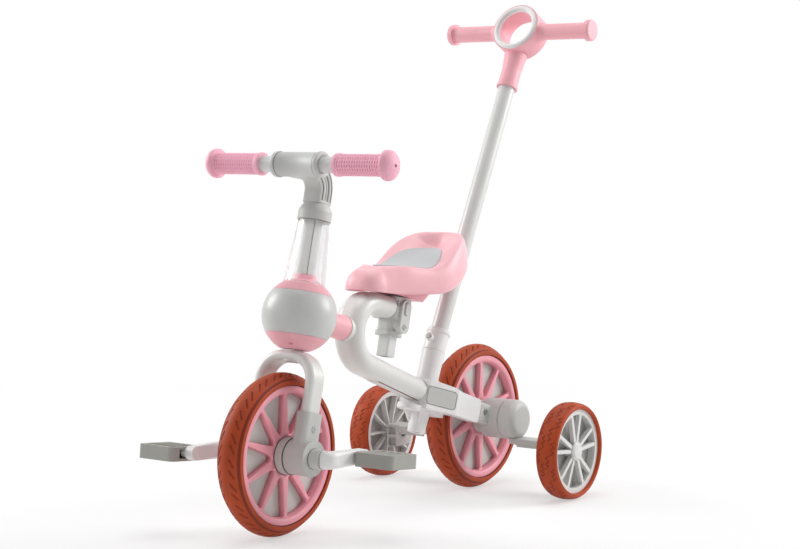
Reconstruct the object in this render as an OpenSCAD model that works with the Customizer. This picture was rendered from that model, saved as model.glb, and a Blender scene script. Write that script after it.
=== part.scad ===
// Toddler trike: two large wheels in line, two small stabiliser wheels and a lift-off push bar.
// Millimetres, +Z up, +X forward, +Y to the rider's left.
// The origin is on the ground under the middle of the outline.
// Inside the modules X is counted from the rear axle; place() shifts everything to the origin.

/* [Wheels] */
// Large tyre, outside diameter
wheel_d = 220; // [213:1:227]
// Large tyre, width
tyre_w = 40; // [38:0.5:42]
// Rise of the tread from the shoulders to the middle
crown_h = 7.8; // [7.3:0.1:8.3]
// Flat side of the tyre, from the rim to the shoulder
bead_h = 8.7; // [8.2:0.1:9.2]
// Half width of a large wheel's barrel
barrel_half = 14; // [13:0.5:15]
// Half thickness of the disc behind the spokes
disc_half = 5; // [4:0.5:6]
// Spokes in each large cover
spokes = 10; // [8:1:12]
// Width of one spoke
spoke_w = 8.5; // [8:0.5:9]
// Corner radius of the windows between spokes
window_r = 5; // [4:0.5:6]
// Solid middle of a spoked cover
cover_hub_d = 66; // [64:1:68]
// Hub collar of a large wheel
hub_d = 50; // [47.5:0.5:52.5]
// Half length of a large wheel's hub
hub_half = 26.5; // [25:0.5:28]
// Rear axle to front axle
wheelbase = 475; // [465:1:485]
// Rear axle and crank spindle
axle_d = 12; // [11:0.5:13]

/* [Stabiliser wheels] */
// Small tyre, outside diameter
small_d = 144; // [140:1:148]
// Small tyre, width
small_w = 34; // [32:0.5:36]
// Small tyre between its rim and the ground
small_tyre_h = 9.5; // [9:0.5:10]
// Face of a small rim from the wheel's middle
small_face = 12; // [11:0.5:13]
// Distance between the small wheels' middles
small_track = 341; // [334:1:348]
// Pairs of spokes in a small rim
small_pairs = 5; // [4:1:6]
// Stabiliser axle
small_axle_d = 8; // [7.5:0.5:8.5]
// Head of a stabiliser axle
axle_head_d = 14; // [13:0.5:15]
// Stabiliser bracket, fore and aft
bracket_w = 30; // [28.5:0.5:31.5]
// Stabiliser bracket, thickness
bracket_t = 8; // [7.5:0.5:8.5]

/* [Frame] */
// Frame tube, depth in side view
tube_h = 31; // [29:0.5:33]
// Frame tube, width
tube_w = 45; // [42.5:0.5:47.5]
// Frame tube wall
tube_wall = 2; // [1.5:0.5:3]
// Front run of the frame tube, from the rear axle
front_x = 316; // [309:1:323]
// Upper bend, to the tube's middle
upper_bend_r = 38; // [36:0.5:40]
// Lower bend, to the tube's middle
lower_bend_r = 47; // [44.5:0.5:49.5]
// Rise of the seat arm towards the front
upper_slope = 12; // [11:0.5:13]
// Rise of the lower run
stay_slope = 20.9; // [20:0.1:21.8]
// Lower run passes this far below the rear axle
stay_drop = 5; // [4:0.5:6]
// Clear space between the rear tyre and the yoke's throat
throat_gap = 8; // [7:0.5:9]

/* [Rear end] */
// Front end of the yoke along the lower run
yoke_front_s = 168; // [164:1:172]
// Where the yoke's arms turn straight back
yoke_turn_s = 119; // [116:1:122]
// Rear end of the yoke's arms
yoke_end_s = 55; // [53:1:57]
// Rise of the yoke
yoke_slope = 17.5; // [16.8:0.1:18.2]
// Outer face of a yoke arm from the middle plane
yoke_half = 46; // [44:0.5:48]
// Inner face of a yoke arm from the middle plane
yoke_in = 29; // [28:0.5:30]
// Half width of the yoke's front end
yoke_nose = 25.5; // [24.5:0.5:26.5]
// Depth of the yoke in side view
yoke_h = 35; // [33:0.5:37]
// Length of the grey panel on the yoke's side
panel_l = 50; // [47.5:0.5:52.5]
// Drum at the rear axle
drum_d = 60; // [57:0.5:63]
// Rear drum, from its inner face to the seam
drum_l = 34.5; // [33:0.5:36]
// Rear cap, from the seam to its outer face
cap_l = 26; // [25:0.5:27]
// Edge rounding of the rear cap
cap_round = 12; // [11:0.5:13]

/* [Head] */
// Steering axis, degrees back from vertical
steer_tilt = 14; // [13:0.5:15]
// Head ball
ball_d = 102; // [98:1:106]
// Gap between the fork's crown and the foot of the ball
head_gap = 1.8; // [1.7:0.1:2]
// Ball band above the middle
band_up = 29.5; // [28:0.5:31]
// Ball band below the middle
band_down = 28.5; // [27:0.5:30]
// Pink sleeve behind the ball
sleeve_d = 35; // [33:0.5:37]
// Sleeve end behind the steering axis
sleeve_end = 98; // [95:1:101]
// Steerer
steerer_d = 20; // [19:0.5:21]
// Thin upper end of the steerer
spigot_d = 14; // [13:0.5:15]

/* [Fork] */
// Space between the front hub and a fork leg
fork_clear = 9; // [8:0.5:10]
// Fork leg, fore and aft
fork_deep = 31; // [29:0.5:33]
// Fork leg, side to side
fork_thick = 15; // [14:0.5:16]
// Shoulders of the fork arch
fork_bend_r = 34; // [32:0.5:36]
// Space between the front tyre and the fork arch
fork_gap = 15; // [14:0.5:16]
// Top of the grey fork end
fork_cover_t = 60; // [57:0.5:63]
// Drum at the fork end
fork_drum_d = 48; // [45.5:0.5:50.5]

/* [Pedals] */
// Spindle to pedal pin
crank_l = 72; // [70:1:74]
// Left crank points back and this far down
crank_angle = 2; // [0:0.5:6]
// Height of a crank at its elbow
crank_h = 24; // [23:0.5:25]
// Height of a crank at its pedal
crank_end_h = 19; // [18:0.5:20]
// Collar on the spindle between the fork end and a crank
collar_l = 15; // [14:0.5:16]
// Crank, side to side at its elbow
crank_t = 16; // [15:0.5:17]
// Pedal, fore and aft
pedal_l = 63; // [61:1:65]
// Pedal, side to side
pedal_w = 62; // [60:1:64]
// Pedal, thickness
pedal_t = 19; // [18:0.5:20]
// Front edge of a pedal up, degrees
pedal_tilt = 5; // [3:0.5:7]
// Space between a crank and its pedal
pedal_gap = 2.5; // [2:0.5:3]

/* [Handlebar] */
// Handlebar tube
bar_d = 22; // [20.5:0.5:23.5]
// Half length of the handlebar tube
bar_half = 152; // [147:1:157]
// Handlebar in front of the steering axis
bar_ahead = 48.6; // [46:0.1:51.5]
// Handlebar above the underside of the stem collar
bar_rise = 67.7; // [64.5:0.1:71]
// Stem clamp
clamp_d = 33.5; // [31.5:0.5:35.5]
// Half length of the stem clamp
clamp_half = 40; // [38:0.5:42]
// Stem neck
neck_w = 30; // [28.5:0.5:31.5]
// Length of the clear tube above the ball
light_l = 78.8; // [75:0.1:82.5]
// Clear tube, diameter at its foot
light_d = 58; // [56:0.5:60]
// Grip
grip_d = 29.5; // [28:0.5:31]
// Inner end of a grip
grip_in = 63; // [61:1:65]
// Outer end of a grip
grip_out = 159; // [154:1:164]
// Knob at the outer end of a grip
grip_flange_d = 41; // [38.5:0.5:43.5]

/* [Seat] */
// Seat post, degrees back from vertical
seat_tilt = 13.3; // [12.5:0.1:14]
// Seat post axis at seat_z
seat_x = 211; // [204:1:218]
// Height of the seat reference point
seat_z = 310; // [303:1:317]
// Square seat post
post_w = 20; // [19:0.5:21]
// Seat post wall
post_wall = 2; // [1.5:0.5:3]
// Seat height adjustment
seat_travel = 45; // [40:1:50]
// Post left in the clamp at full height
post_hold = 47; // [44:1:50]
// Clamp collar runs this far below the reference point
clamp_low = 62; // [60:1:64]
// Half length of the seat clamp block
clamp_half_x = 20; // [19:0.5:21]
// Face of the seat clamp's side plate from the middle plane
plate_y = 26.5; // [25:0.5:28]
// Middle of the seat button along the seat post
button_t = -22; // [-24:0.5:-20]
// Front of the saddle
saddle_nose_x = 315; // [308:1:322]
// Back of the saddle
saddle_tail_x = 66; // [64:1:68]
// Half width of the saddle
saddle_half = 67; // [64:1:70]
// Half width of the saddle's nose
nose_half = 30; // [28.5:0.5:31.5]
// Height of the saddle's front and sides
saddle_rim_z = 352; // [344:1:360]
// Height of the saddle's raised back
saddle_back_z = 394; // [386:1:402]
// Lowest edge of the saddle's skirt
saddle_low_z = 310; // [303:1:317]
// Wall of the saddle shell
saddle_wall = 4.5; // [4:0.5:5]
// Front end of the saddle pad
pad_front_x = 262; // [256:1:268]
// Back end of the saddle pad
pad_back_x = 92; // [89:1:95]

/* [Push bar] */
// Push bar axis at push_z
push_x = 134; // [129:1:139]
// Height of the push bar reference point
push_z = 169.8; // [164:0.1:175]
// Push bar, degrees back from vertical
push_tilt = 26.5; // [25.5:0.5:27.5]
// Push bar tube
push_d = 26; // [24.5:0.5:27.5]
// Push bar tube wall
push_wall = 2; // [1.5:0.5:3]
// Socket on the yoke, at its top
socket_d = 35; // [33:0.5:37]
// Socket at its foot
socket_low_d = 32; // [30:0.5:34]
// Top of the socket
socket_t = 52.5; // [49.5:0.5:55.5]
// Boss runs this far below the yoke's middle line
boss_n = 58; // [55:0.5:61]
// Top of the socket collar
push_collar_t = 87; // [84:1:90]
// Lower end of the handle's neck
neck_low_t = 494; // [484:1:504]
// Middle of the handle ring along the push bar
ring_t = 590.5; // [578:0.1:603]
// Handle ring
ring_d = 79; // [76:1:82]
// Hole in the handle ring
ring_hole_d = 58; // [55:0.5:61]
// Depth of the handle ring
ring_deep = 36; // [34:0.5:38]
// Handle ring in front of the push bar's axis
ring_ahead = 4; // [2:1:6]
// Cross bar of the push handle
grip_bar_d = 25; // [23.5:0.5:26.5]
// Half length of the cross bar
grip_bar_half = 130; // [126:1:134]

/* [Fits] */
// Clearance round everything that moves
gap = 0.4; // [0.3:0.05:0.5]
// Clearance between fixed pieces
seam = 0.1; // [0.05:0.05:0.15]

/* [Hidden] */
$fn = 48;
wheel_r = wheel_d / 2;
// tread radius that gives this rise over this width
tread_half = tyre_w / 2 - 2.6;
crown_r = (pow(tread_half, 2) + pow(crown_h, 2)) / (2 * crown_h);
rim_r = wheel_r - crown_h - bead_h;
small_r = small_d / 2;
small_rim_r = small_r - small_tyre_h;
small_y = small_track / 2;
ball_r = ball_d / 2;
pink = [0.86, 0.47, 0.52];
pale_pink = [0.90, 0.62, 0.64];
grey = [0.72, 0.72, 0.70];
pale = [0.90, 0.89, 0.87];
white = [0.95, 0.95, 0.94];
tan_rubber = [0.67, 0.38, 0.27];
steel = [0.62, 0.63, 0.65];

drum_in = hub_half + 1;
drum_seam = drum_in + drum_l;
drum_out = drum_seam + cap_l;
arm_y = (yoke_half + yoke_in) / 2;
throat_s = wheel_r + throat_gap;
tube_end_s = throat_s + 10;
panel_a = atan2(yoke_half - yoke_nose, yoke_front_s - yoke_turn_s);
panel_s = (yoke_front_s + yoke_turn_s) / 2 + 1.5;
panel_y = yoke_half - (panel_s - yoke_turn_s) * tan(panel_a);
fork_half = hub_half + fork_clear + fork_thick / 2;
fork_crown_t = wheel_r + fork_gap + fork_thick;
// the ball stands on a flat foot
ball_foot = ball_r - 4;
ball_t = fork_crown_t + head_gap + ball_foot;
// half length of the head tube inside the ball
head_half = ball_r - 13;
head_tube_d = 34;
bush_d = 26;
bush_l = 20;
collar_t = ball_t + ball_r + light_l;
bar_t = collar_t + bar_rise;
fork_face = fork_half + 18;
collar_out = fork_face + collar_l;
crank_in = collar_out + 1;
pedal_in = crank_in + crank_t + pedal_gap;
pin_x = crank_l * cos(crank_angle);
pin_z = crank_l * sin(crank_angle);
// a pedal hangs this far below its pin
pedal_drop = 2;
x_front = wheelbase + max(wheel_r,
    pin_x + pedal_l / 2 * cos(pedal_tilt) + (pedal_t / 2 + pedal_drop) * sin(pedal_tilt));
x_rear = push_x - ring_t * sin(push_tilt) - (ring_deep / 2 - ring_ahead) * cos(push_tilt)
    - ring_d / 2 * sin(push_tilt);
x_mid = (x_front + x_rear) / 2;
// the socket stands square on the yoke and meets the push bar's axis at its top
socket_x = push_x - socket_t * sin(push_tilt);
socket_z = push_z + socket_t * cos(push_tilt);
stay_z = wheel_r - stay_drop;
socket_s = socket_x * cos(stay_slope) + (socket_z - stay_z) * sin(stay_slope);
socket_n = (socket_z - stay_z) * cos(stay_slope) - socket_x * sin(stay_slope);
tube_low_t = socket_t - 16;

// where the two bends of the frame tube have their middles
arm_px = seat_x + 7 * sin(seat_tilt) + tube_h / 2 * sin(upper_slope);
arm_pz = seat_z - 7 * cos(seat_tilt) - tube_h / 2 * cos(upper_slope);
upper_cx = front_x - upper_bend_r;
upper_cz = arm_pz + (upper_cx - upper_bend_r * sin(upper_slope) - arm_px) * tan(upper_slope)
    - upper_bend_r * cos(upper_slope);
lower_cx = front_x - lower_bend_r;
lower_cz = stay_z + (lower_cx + lower_bend_r * sin(stay_slope)) * tan(stay_slope)
    + lower_bend_r * cos(stay_slope);
lower_s = (lower_cx + lower_bend_r * sin(stay_slope)) / cos(stay_slope);
arm_front_x = upper_cx - upper_bend_r * sin(upper_slope);
arm_front_z = upper_cz + upper_bend_r * cos(upper_slope);
// straight runs reach this far into a bend, whose section is a little larger
lap = 1;
bend_step = 0.3;
post_low = seat_travel + post_hold;
head_bore_d = steerer_d + 4;
bush_end = head_half + seam + 2.6;
arm_len = (arm_front_x - arm_px) / cos(upper_slope) - clamp_half_x + 4;

module place() { translate([-x_mid, 0, 0]) children(); }
module at_steer(t = 0) {
    translate([wheelbase, 0, wheel_r]) rotate([0, -steer_tilt, 0]) translate([0, 0, t]) children();
}
module at_push(t = 0) {
    translate([push_x, 0, push_z]) rotate([0, -push_tilt, 0]) translate([0, 0, t]) children();
}
module at_seat(t = 0) {
    translate([seat_x, 0, seat_z]) rotate([0, -seat_tilt, 0]) translate([0, 0, t]) children();
}
module at_stay(s = 0) {
    translate([0, 0, stay_z]) rotate([0, -stay_slope, 0]) translate([s, 0, 0]) children();
}
module at_yoke(s = 0) {
    translate([0, 0, wheel_r - 1.5]) rotate([0, -yoke_slope, 0]) translate([s, 0, 0]) children();
}
module at_front() { translate([wheelbase, 0, wheel_r]) children(); }
module at_rear() { translate([0, 0, wheel_r]) children(); }
module flip(right) { mirror([0, right ? 1 : 0, 0]) children(); }

// cylinder along Y from y0 to y1
module ycyl(d, y0, y1) { translate([0, y0, 0]) rotate([-90, 0, 0]) cylinder(d = d, h = y1 - y0); }

// flat oval, a along x and b along y, b the longer
module oval(a, b) {
    square([a, b - a], center = true);
    for (s = [-1, 1]) translate([0, s * (b - a) / 2]) circle(d = a);
}
// rectangle with round corners
module round_rect(a, b, r) {
    square([a - 2 * r, b], center = true);
    square([a, b - 2 * r], center = true);
    for (i = [-1, 1], j = [-1, 1]) translate([i * (a / 2 - r), j * (b / 2 - r)]) circle(r = r);
}

// frame tube

module side_bend(cx, cz, r, a0, a1) {
    translate([cx, 0, cz]) rotate([90, 0, 0]) rotate([0, 0, a0])
        rotate_extrude(angle = a1 - a0) translate([r, 0]) children();
}
module side_run(x, z, a, len) {
    translate([x, 0, z]) rotate([90, 0, 0]) rotate([0, 0, a]) rotate([0, 90, 0]) translate([0, 0, -lap])
        linear_extrude(len + lap) rotate([0, 0, 90]) children();
}
module frame_path(a, b, over) {
    side_bend(upper_cx, upper_cz, upper_bend_r, 0, 90 + upper_slope) oval(a + bend_step, b + bend_step);
    side_run(arm_front_x, arm_front_z, 180 + upper_slope, arm_len + over) oval(a, b);
    side_bend(lower_cx, lower_cz, lower_bend_r, stay_slope - 90, 0) oval(a + bend_step, b + bend_step);
    translate([front_x, 0, lower_cz - lap]) linear_extrude(upper_cz - lower_cz + 2 * lap) oval(a, b);
    side_run(lower_s * cos(stay_slope), stay_z + lower_s * sin(stay_slope), 180 + stay_slope,
        lower_s - tube_end_s + over) oval(a, b);
}
module frame_tube() {
    color(pale) difference() {
        union() {
            frame_path(tube_h, tube_w, 0);
            at_steer(ball_t) {
                rotate([0, -90, 0]) cylinder(d = sleeve_d - 7, h = sleeve_end + 8);
                rotate([0, -90, 0]) translate([0, 0, sleeve_end + seam]) cylinder(d = sleeve_d + 2, h = 14);
                translate([0, 0, -head_half]) cylinder(d = head_tube_d, h = 2 * head_half);
            }
        }
        frame_path(tube_h - 2 * tube_wall, tube_w - 2 * tube_wall, 1);
        at_steer(ball_t) {
            translate([0, 0, -head_half - 2]) cylinder(d = bush_d, h = 2 * head_half + 4);
            rotate([0, -90, 0]) cylinder(d = sleeve_d - 13, h = sleeve_end + 10);
        }
        // the seat arm ends flat against the seat clamp
        at_seat() translate([-150, -tube_w, -60]) cube([150 + clamp_half_x + seam, 2 * tube_w, 60]);
    }
}

// head

module head_ball() {
    color(grey) at_steer(ball_t) difference() {
        intersection() {
            sphere(d = ball_d);
            translate([0, 0, -band_down]) cylinder(d = ball_d + 2, h = band_up + band_down);
        }
        sphere(d = ball_d - 6);
        rotate([0, -90, 0]) cylinder(d = sleeve_d - 6.6, h = ball_d);
    }
}
module head_cap_top() {
    color(pink) at_steer(ball_t) difference() {
        union() {
            intersection() {
                sphere(d = ball_d);
                translate([0, 0, band_up + seam]) cylinder(d = ball_d, h = ball_r);
            }
            translate([0, 0, ball_r - 4]) cylinder(d = 29, h = 8);
        }
        sphere(d = ball_d - 7);
        cylinder(d = steerer_d + 2 * gap, h = ball_d);
    }
}
module head_cap_bottom() {
    color(pink) at_steer(ball_t) difference() {
        intersection() {
            sphere(d = ball_d);
            translate([0, 0, -ball_foot]) cylinder(d = ball_d, h = ball_foot - band_down - seam);
        }
        sphere(d = ball_d - 7);
        translate([0, 0, -ball_r]) cylinder(d = head_bore_d, h = ball_d);
        rotate([0, 145, 28]) translate([0, 0, ball_r - 2]) cylinder(d = 5, h = 6);
    }
}
module head_sleeve() {
    color(pink) at_steer(ball_t) difference() {
        rotate([0, -90, 0]) cylinder(d = sleeve_d, h = sleeve_end);
        rotate([0, -90, 0]) cylinder(d = sleeve_d - 7 + 2 * seam, h = sleeve_end + 1);
        sphere(d = ball_d + 2 * seam);
    }
}
module head_bushes() {
    color(grey) at_steer(ball_t) for (s = [0, 1]) mirror([0, 0, s]) difference() {
        union() {
            translate([0, 0, head_half - bush_l]) cylinder(d = bush_d - 2 * seam, h = bush_l + seam);
            translate([0, 0, head_half + seam]) cylinder(d = head_tube_d - 2,
                h = bush_end - head_half - seam);
        }
        cylinder(d = steerer_d + 2 * gap, h = ball_d);
    }
}

// rear end

plate_r = 20;
panel_h = yoke_h - 10;
// tongue of the rear drum inside the yoke's arm
tongue_w = 12.6;
tongue_h = 24;
module yoke_plan() {
    for (s = [-1, 1]) {
        polygon([[yoke_front_s, 0], [yoke_front_s, s * yoke_nose], [yoke_turn_s, s * yoke_half],
            [yoke_end_s, s * yoke_half], [yoke_end_s, s * yoke_in], [throat_s - 18, s * yoke_in],
            [throat_s - 6, s * (yoke_in - 5)], [throat_s, s * yoke_in / 2], [throat_s, 0]]);
    }
}
// the yoke from the side, deeper towards its front
module yoke_side() {
    polygon([[yoke_end_s, 4 - yoke_h / 2], [yoke_end_s + 4, -yoke_h / 2], [yoke_front_s, -yoke_h / 2 - 1.5],
        [yoke_front_s, yoke_h / 2 + 7], [yoke_turn_s + 6, yoke_h / 2 + 4], [yoke_turn_s - 7,
            yoke_h / 2 + 1],
        [yoke_end_s + 4, yoke_h / 2], [yoke_end_s, yoke_h / 2 - 4]]);
}
module yoke() {
    color(white) difference() {
        union() {
            at_yoke() {
                intersection() {
                    translate([0, 0, -yoke_h]) linear_extrude(2 * yoke_h) yoke_plan();
                    rotate([90, 0, 0]) translate([0, 0, -60]) linear_extrude(120) yoke_side();
                }
                // lower plate, round at its front
                translate([0, 0, -yoke_h / 2 - 6]) linear_extrude(7) {
                    translate([throat_s - 6, -plate_r]) square([yoke_front_s + 8 - throat_s, 2 * plate_r]);
                    translate([yoke_front_s + 2, 0]) circle(r = plate_r);
                }
            }
            at_stay(socket_s) {
                translate([0, 0, -boss_n]) cylinder(d1 = 26, d2 = 31, h = boss_n - yoke_h / 2 + 0.5);
                translate([0, 0, yoke_h / 2 - 3.5])
                    cylinder(d1 = socket_low_d, d2 = socket_d, h = socket_n - 10);
                translate([0, 0, yoke_h / 2 - 2.5]) cylinder(d = socket_low_d + 4, h = 8.5);
                // webs between the boss and the lower plate
                for (s = [-1, 1]) translate([0, 0, -boss_n + 14]) rotate([90, 0, s * 40]) translate([0,
                    0, -2])
                    linear_extrude(4) polygon([[8, 0], [15, 0], [28, 22], [8, 22]]);
            }
        }
        at_push(tube_low_t - gap) cylinder(d = push_d + 2 * gap, h = 200);
        at_push(socket_t) translate([-socket_d, -socket_d, 0]) cube(2 * socket_d);
        at_stay(socket_s) translate([0, 0, -boss_n - 1]) cylinder(d = 14, h = 36);
        at_stay() translate([tube_end_s - seam, 0, 0]) rotate([0, 90, 0]) linear_extrude(120)
            oval(tube_h + 2 * seam, tube_w + 2 * seam);
        at_yoke() for (s = [-1, 1]) {
            translate([yoke_end_s - 9, s * arm_y - tongue_w / 2 - 0.2, -tongue_h / 2 - 0.5])
                cube([38, tongue_w + 0.4, tongue_h + 1]);
            panel_at(s) translate([0, -2.5, 1.5]) rotate([-90, 0, 0]) linear_extrude(6) {
                round_rect(panel_l + 2.4, panel_h + 2.4, 6.2);
                translate([0, -panel_h / 2 - 1.2]) square([panel_l, panel_h + 2.4]);
            }
        }
    }
}
module panel_at(s) {
    mirror([0, s > 0 ? 0 : 1, 0]) translate([panel_s, panel_y, 0]) rotate([0, 0, -panel_a]) children();
}
module yoke_panels() {
    color(grey) at_yoke() for (s = [-1, 1]) panel_at(s) translate([0, -2.4, 1.5]) rotate([-90, 0, 0])
        linear_extrude(2.2) round_rect(panel_l, panel_h, 5);
}
module socket_collar() {
    color(white) difference() {
        union() {
            at_push(socket_t + seam) cylinder(d = socket_d - 1.5, h = push_collar_t - socket_t - seam);
            at_push(push_collar_t - 6) cylinder(d = socket_d + 0.5, h = 4);
            at_push((socket_t + push_collar_t) / 2) rotate([0, 90, 0]) cylinder(d = 12, h = 22);
        }
        at_push(0) cylinder(d = push_d + 2 * gap, h = 200);
        at_push(socket_t) rotate_extrude() translate([socket_d / 2 - 0.75, 0]) circle(r = 0.9);
        at_push((socket_t + push_collar_t) / 2) translate([14.4, 0, 0]) rotate([0, 90, 0])
            cylinder(d = 7 + 2 * gap, h = 20);
        at_push((socket_t + push_collar_t) / 2) rotate([0, 90, 0]) cylinder(d = 4, h = 20);
    }
}
module push_button() {
    color(grey) at_push((socket_t + push_collar_t) / 2) translate([18, 0, 0]) rotate([0, 90, 0]) {
        cylinder(d = 7, h = 5);
        translate([0, 0, 5]) cylinder(d1 = 7, d2 = 5.5, h = 1.5);
    }
}
// groove where the drum and its cap meet
seam_step = 0.9;
module rear_dropout(right) {
    color(grey) flip(right) difference() {
        union() {
            at_rear() ycyl(drum_d, drum_in, drum_seam - seam_step);
            at_rear() ycyl(drum_d - 2 * seam_step, drum_in, drum_seam);
            at_yoke(4) translate([0, arm_y, 0]) rotate([0, 90, 0]) linear_extrude(yoke_end_s - 6)
                round_rect(yoke_h - 4, yoke_half - yoke_in - 1, 4);
            at_yoke(yoke_end_s - 19) translate([0, arm_y - tongue_w / 2, -tongue_h / 2])
                cube([44, tongue_w, tongue_h]);
        }
        at_rear() ycyl(axle_d + 2 * seam, 0, 100);
        at_rear() ycyl(24, drum_in - 1, drum_in + 3);
        at_yoke(yoke_end_s - 15) translate([0, yoke_half - 1.8, 3]) rotate([-90, 0, 0])
            cylinder(d = 10, h = 5);
    }
}
module rear_dropout_left() { rear_dropout(false); }
module rear_dropout_right() { rear_dropout(true); }
module rear_hub_cap(right) {
    color(grey) flip(right) at_rear() difference() {
        rotate([-90, 0, 0]) rotate_extrude() {
            translate([0, drum_seam + seam_step]) square([drum_d / 2,
                drum_out - cap_round - drum_seam - seam_step]);
            translate([0, drum_seam + seam]) square([drum_d / 2 - cap_round, drum_out - drum_seam - seam]);
            translate([drum_d / 2 - cap_round, drum_out - cap_round]) circle(r = cap_round);
        }
        ycyl(22, drum_seam - 1, drum_seam + 14);
        translate([-bracket_w / 2 - seam, bracket_y - seam, -drum_d / 2 - 1])
            cube([bracket_w + 2 * seam, cap_l, 4 + seam]);
    }
}
module rear_hub_cap_left() { rear_hub_cap(false); }
module rear_hub_cap_right() { rear_hub_cap(true); }
module rear_axle() {
    color(steel) at_rear() {
        ycyl(axle_d, -drum_seam - 6, drum_seam + 6);
        for (s = [0, 1]) flip(s == 1) ycyl(20, drum_seam + seam, drum_seam + 8);
    }
}
bracket_z = wheel_r - drum_d / 2 + 3;
bracket_y = drum_seam + 12;
small_in = small_y - small_w / 2;
// box at the end of a stabiliser bracket: along Y, and below the axle
box_l = 20;
box_h = 20;
module training_bracket(right) {
    color(grey) flip(right) difference() {
        union() {
            translate([-bracket_w / 2, bracket_y, bracket_z - bracket_t])
                cube([bracket_w, small_in - bracket_y - 7, bracket_t]);
            translate([-bracket_w / 2 - 3, small_in - box_l - 2, small_r - box_h])
                cube([bracket_w + 6, box_l, bracket_z - small_r + box_h + 2]);
            for (i = [-1, 1]) translate([i * 11 - 2, drum_out - 2, bracket_z - bracket_t - 4])
                cube([4, small_in - drum_out - 6, 5]);
        }
        translate([0, 0, small_r]) ycyl(small_axle_d + 2 * seam, drum_out, 2 * small_in);
        translate([0, 0, small_r]) ycyl(axle_head_d + 2 * seam, drum_out, small_in - 9);
        // pockets between the ribs, front and back
        for (i = [-1, 1], j = [-1, 1]) translate([i * (bracket_w / 2 + 3), small_in - box_l / 2 - 2,
            small_r - box_h / 2 + 5 + j * 8.5]) cube([14, box_l - 6, 12], center = true);
        translate([0, bracket_y + 7, bracket_z - 30]) cylinder(d = 6, h = 40);
    }
}
module training_bracket_left() { training_bracket(false); }
module training_bracket_right() { training_bracket(true); }
module training_axles() {
    color(steel) for (s = [0, 1]) flip(s == 1) translate([0, 0, small_r]) {
        ycyl(small_axle_d, small_in - 16, small_y + 11);
        ycyl(axle_head_d, small_in - 17, small_in - 9 - seam);
    }
}

// screws that show on the frame side

module screw_head(d, h) {
    difference() {
        cylinder(d = d, h = h);
        for (a = [0, 90]) rotate([0, 0, a]) translate([-d / 3, -0.6, h - 1]) cube([2 * d / 3, 1.2, 2]);
    }
}
module frame_screws() {
    color(steel) {
        for (s = [0, 1]) flip(s == 1) at_yoke(yoke_end_s - 15) translate([0, yoke_half - 1.7, 3])
            rotate([-90, 0, 0]) screw_head(9.4, 2.4);
        at_seat(-48) translate([0, plate_y - 1.2, 0]) rotate([-90, 0, 0]) screw_head(7.4, 2.2);
        at_seat(-16) translate([14, tube_w / 2 - 1.4, 0]) rotate([-90, 0, 0]) screw_head(7.4, 2);
        for (s = [0, 1]) flip(s == 1) translate([0, bracket_y + 7, bracket_z - bracket_t - 2.6])
            screw_head(10, 2.5);
    }
}

// seat

module seat_clamp() {
    color(grey) difference() {
        union() {
            at_seat(-38) linear_extrude(31) round_rect(2 * clamp_half_x, tube_w, 9);
            at_seat(-clamp_low + 6) linear_extrude(clamp_low - 36) round_rect(29, 29, 9);
            at_seat(-clamp_low) linear_extrude(6.5) round_rect(34, 34, 11);
            at_seat(0) translate([0, 10, -33]) rotate([-90, 0, 0]) linear_extrude(plate_y - 10)
                translate([0, 0]) round_rect(22, 48, 10);
            side_run(seat_x + clamp_half_x + 22, arm_front_z - (arm_front_x - seat_x - clamp_half_x - 22)
                * tan(upper_slope), 180 + upper_slope, 40)
                oval(tube_h - 2 * tube_wall - 2 * seam, tube_w - 2 * tube_wall - 2 * seam);
        }
        at_seat(-90) linear_extrude(120) square(post_w + 2 * gap, center = true);
        at_seat(button_t) translate([0, plate_y - 8, 0]) rotate([-90, 0, 0]) linear_extrude(20)
            oval(10 + 2 * gap, 19 + 2 * gap);
        at_seat(-48) translate([0, plate_y - 1.3, 0]) rotate([-90, 0, 0]) cylinder(d = 8, h = 5);
        at_seat(-16) translate([14, tube_w / 2 - 1.5, 0]) rotate([-90, 0, 0]) cylinder(d = 8, h = 5);
    }
}
module seat_button() {
    color(pale) at_seat(button_t) translate([0, plate_y - 4, 0]) rotate([-90, 0, 0]) {
        linear_extrude(5) oval(10, 19);
        translate([0, 0, 5]) linear_extrude(1) oval(8, 17);
    }
}
module seat_post() {
    color(pale) at_seat(-post_low) difference() {
        linear_extrude(post_low + 12) round_rect(post_w, post_w, 2.5);
        translate([0, 0, -1]) linear_extrude(post_low + 10) round_rect(post_w - 2 * post_wall,
            post_w - 2 * post_wall, 1);
    }
}

// saddle outline in plan, rim and skirt heights as smooth curves of x
wide_x = saddle_tail_x + 88;
wide_end = saddle_nose_x - 40;
function smooth01(v) = let (u = max(0, min(1, v))) (1 - cos(180 * u)) / 2;
function plan_half(x) = x < wide_x
    ? saddle_half * sqrt(max(0, 1 - pow((wide_x - x) / (wide_x - saddle_tail_x), 2)))
    : x < wide_end
        ? nose_half + (saddle_half - nose_half) * (1 - smooth01((x - wide_x) / (wide_end - wide_x)))
        : nose_half * sqrt(max(0, 1 - pow((x - wide_end) / (saddle_nose_x - wide_end), 2)));
function rim_z(x) = saddle_rim_z + (saddle_back_z - saddle_rim_z) * smooth01((wide_x + 31 - x) / 105)
    - 11 * smooth01((x - wide_end + 30) / 70);
function skirt_z(x) = x > 190 ? saddle_low_z + 13 * pow((x - 190) / 125, 2)
    : saddle_low_z + 33 * pow((190 - x) / 120, 2);
function dish(x) = 28 * smooth01((215 - x) / 110) * sqrt(max(0, 1 - pow(max(0, 122 - x)
    / (122 - saddle_tail_x), 2)))
    + 4 * smooth01((250 - x) / 60) - 5 * smooth01((x - 240) / 60);
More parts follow.
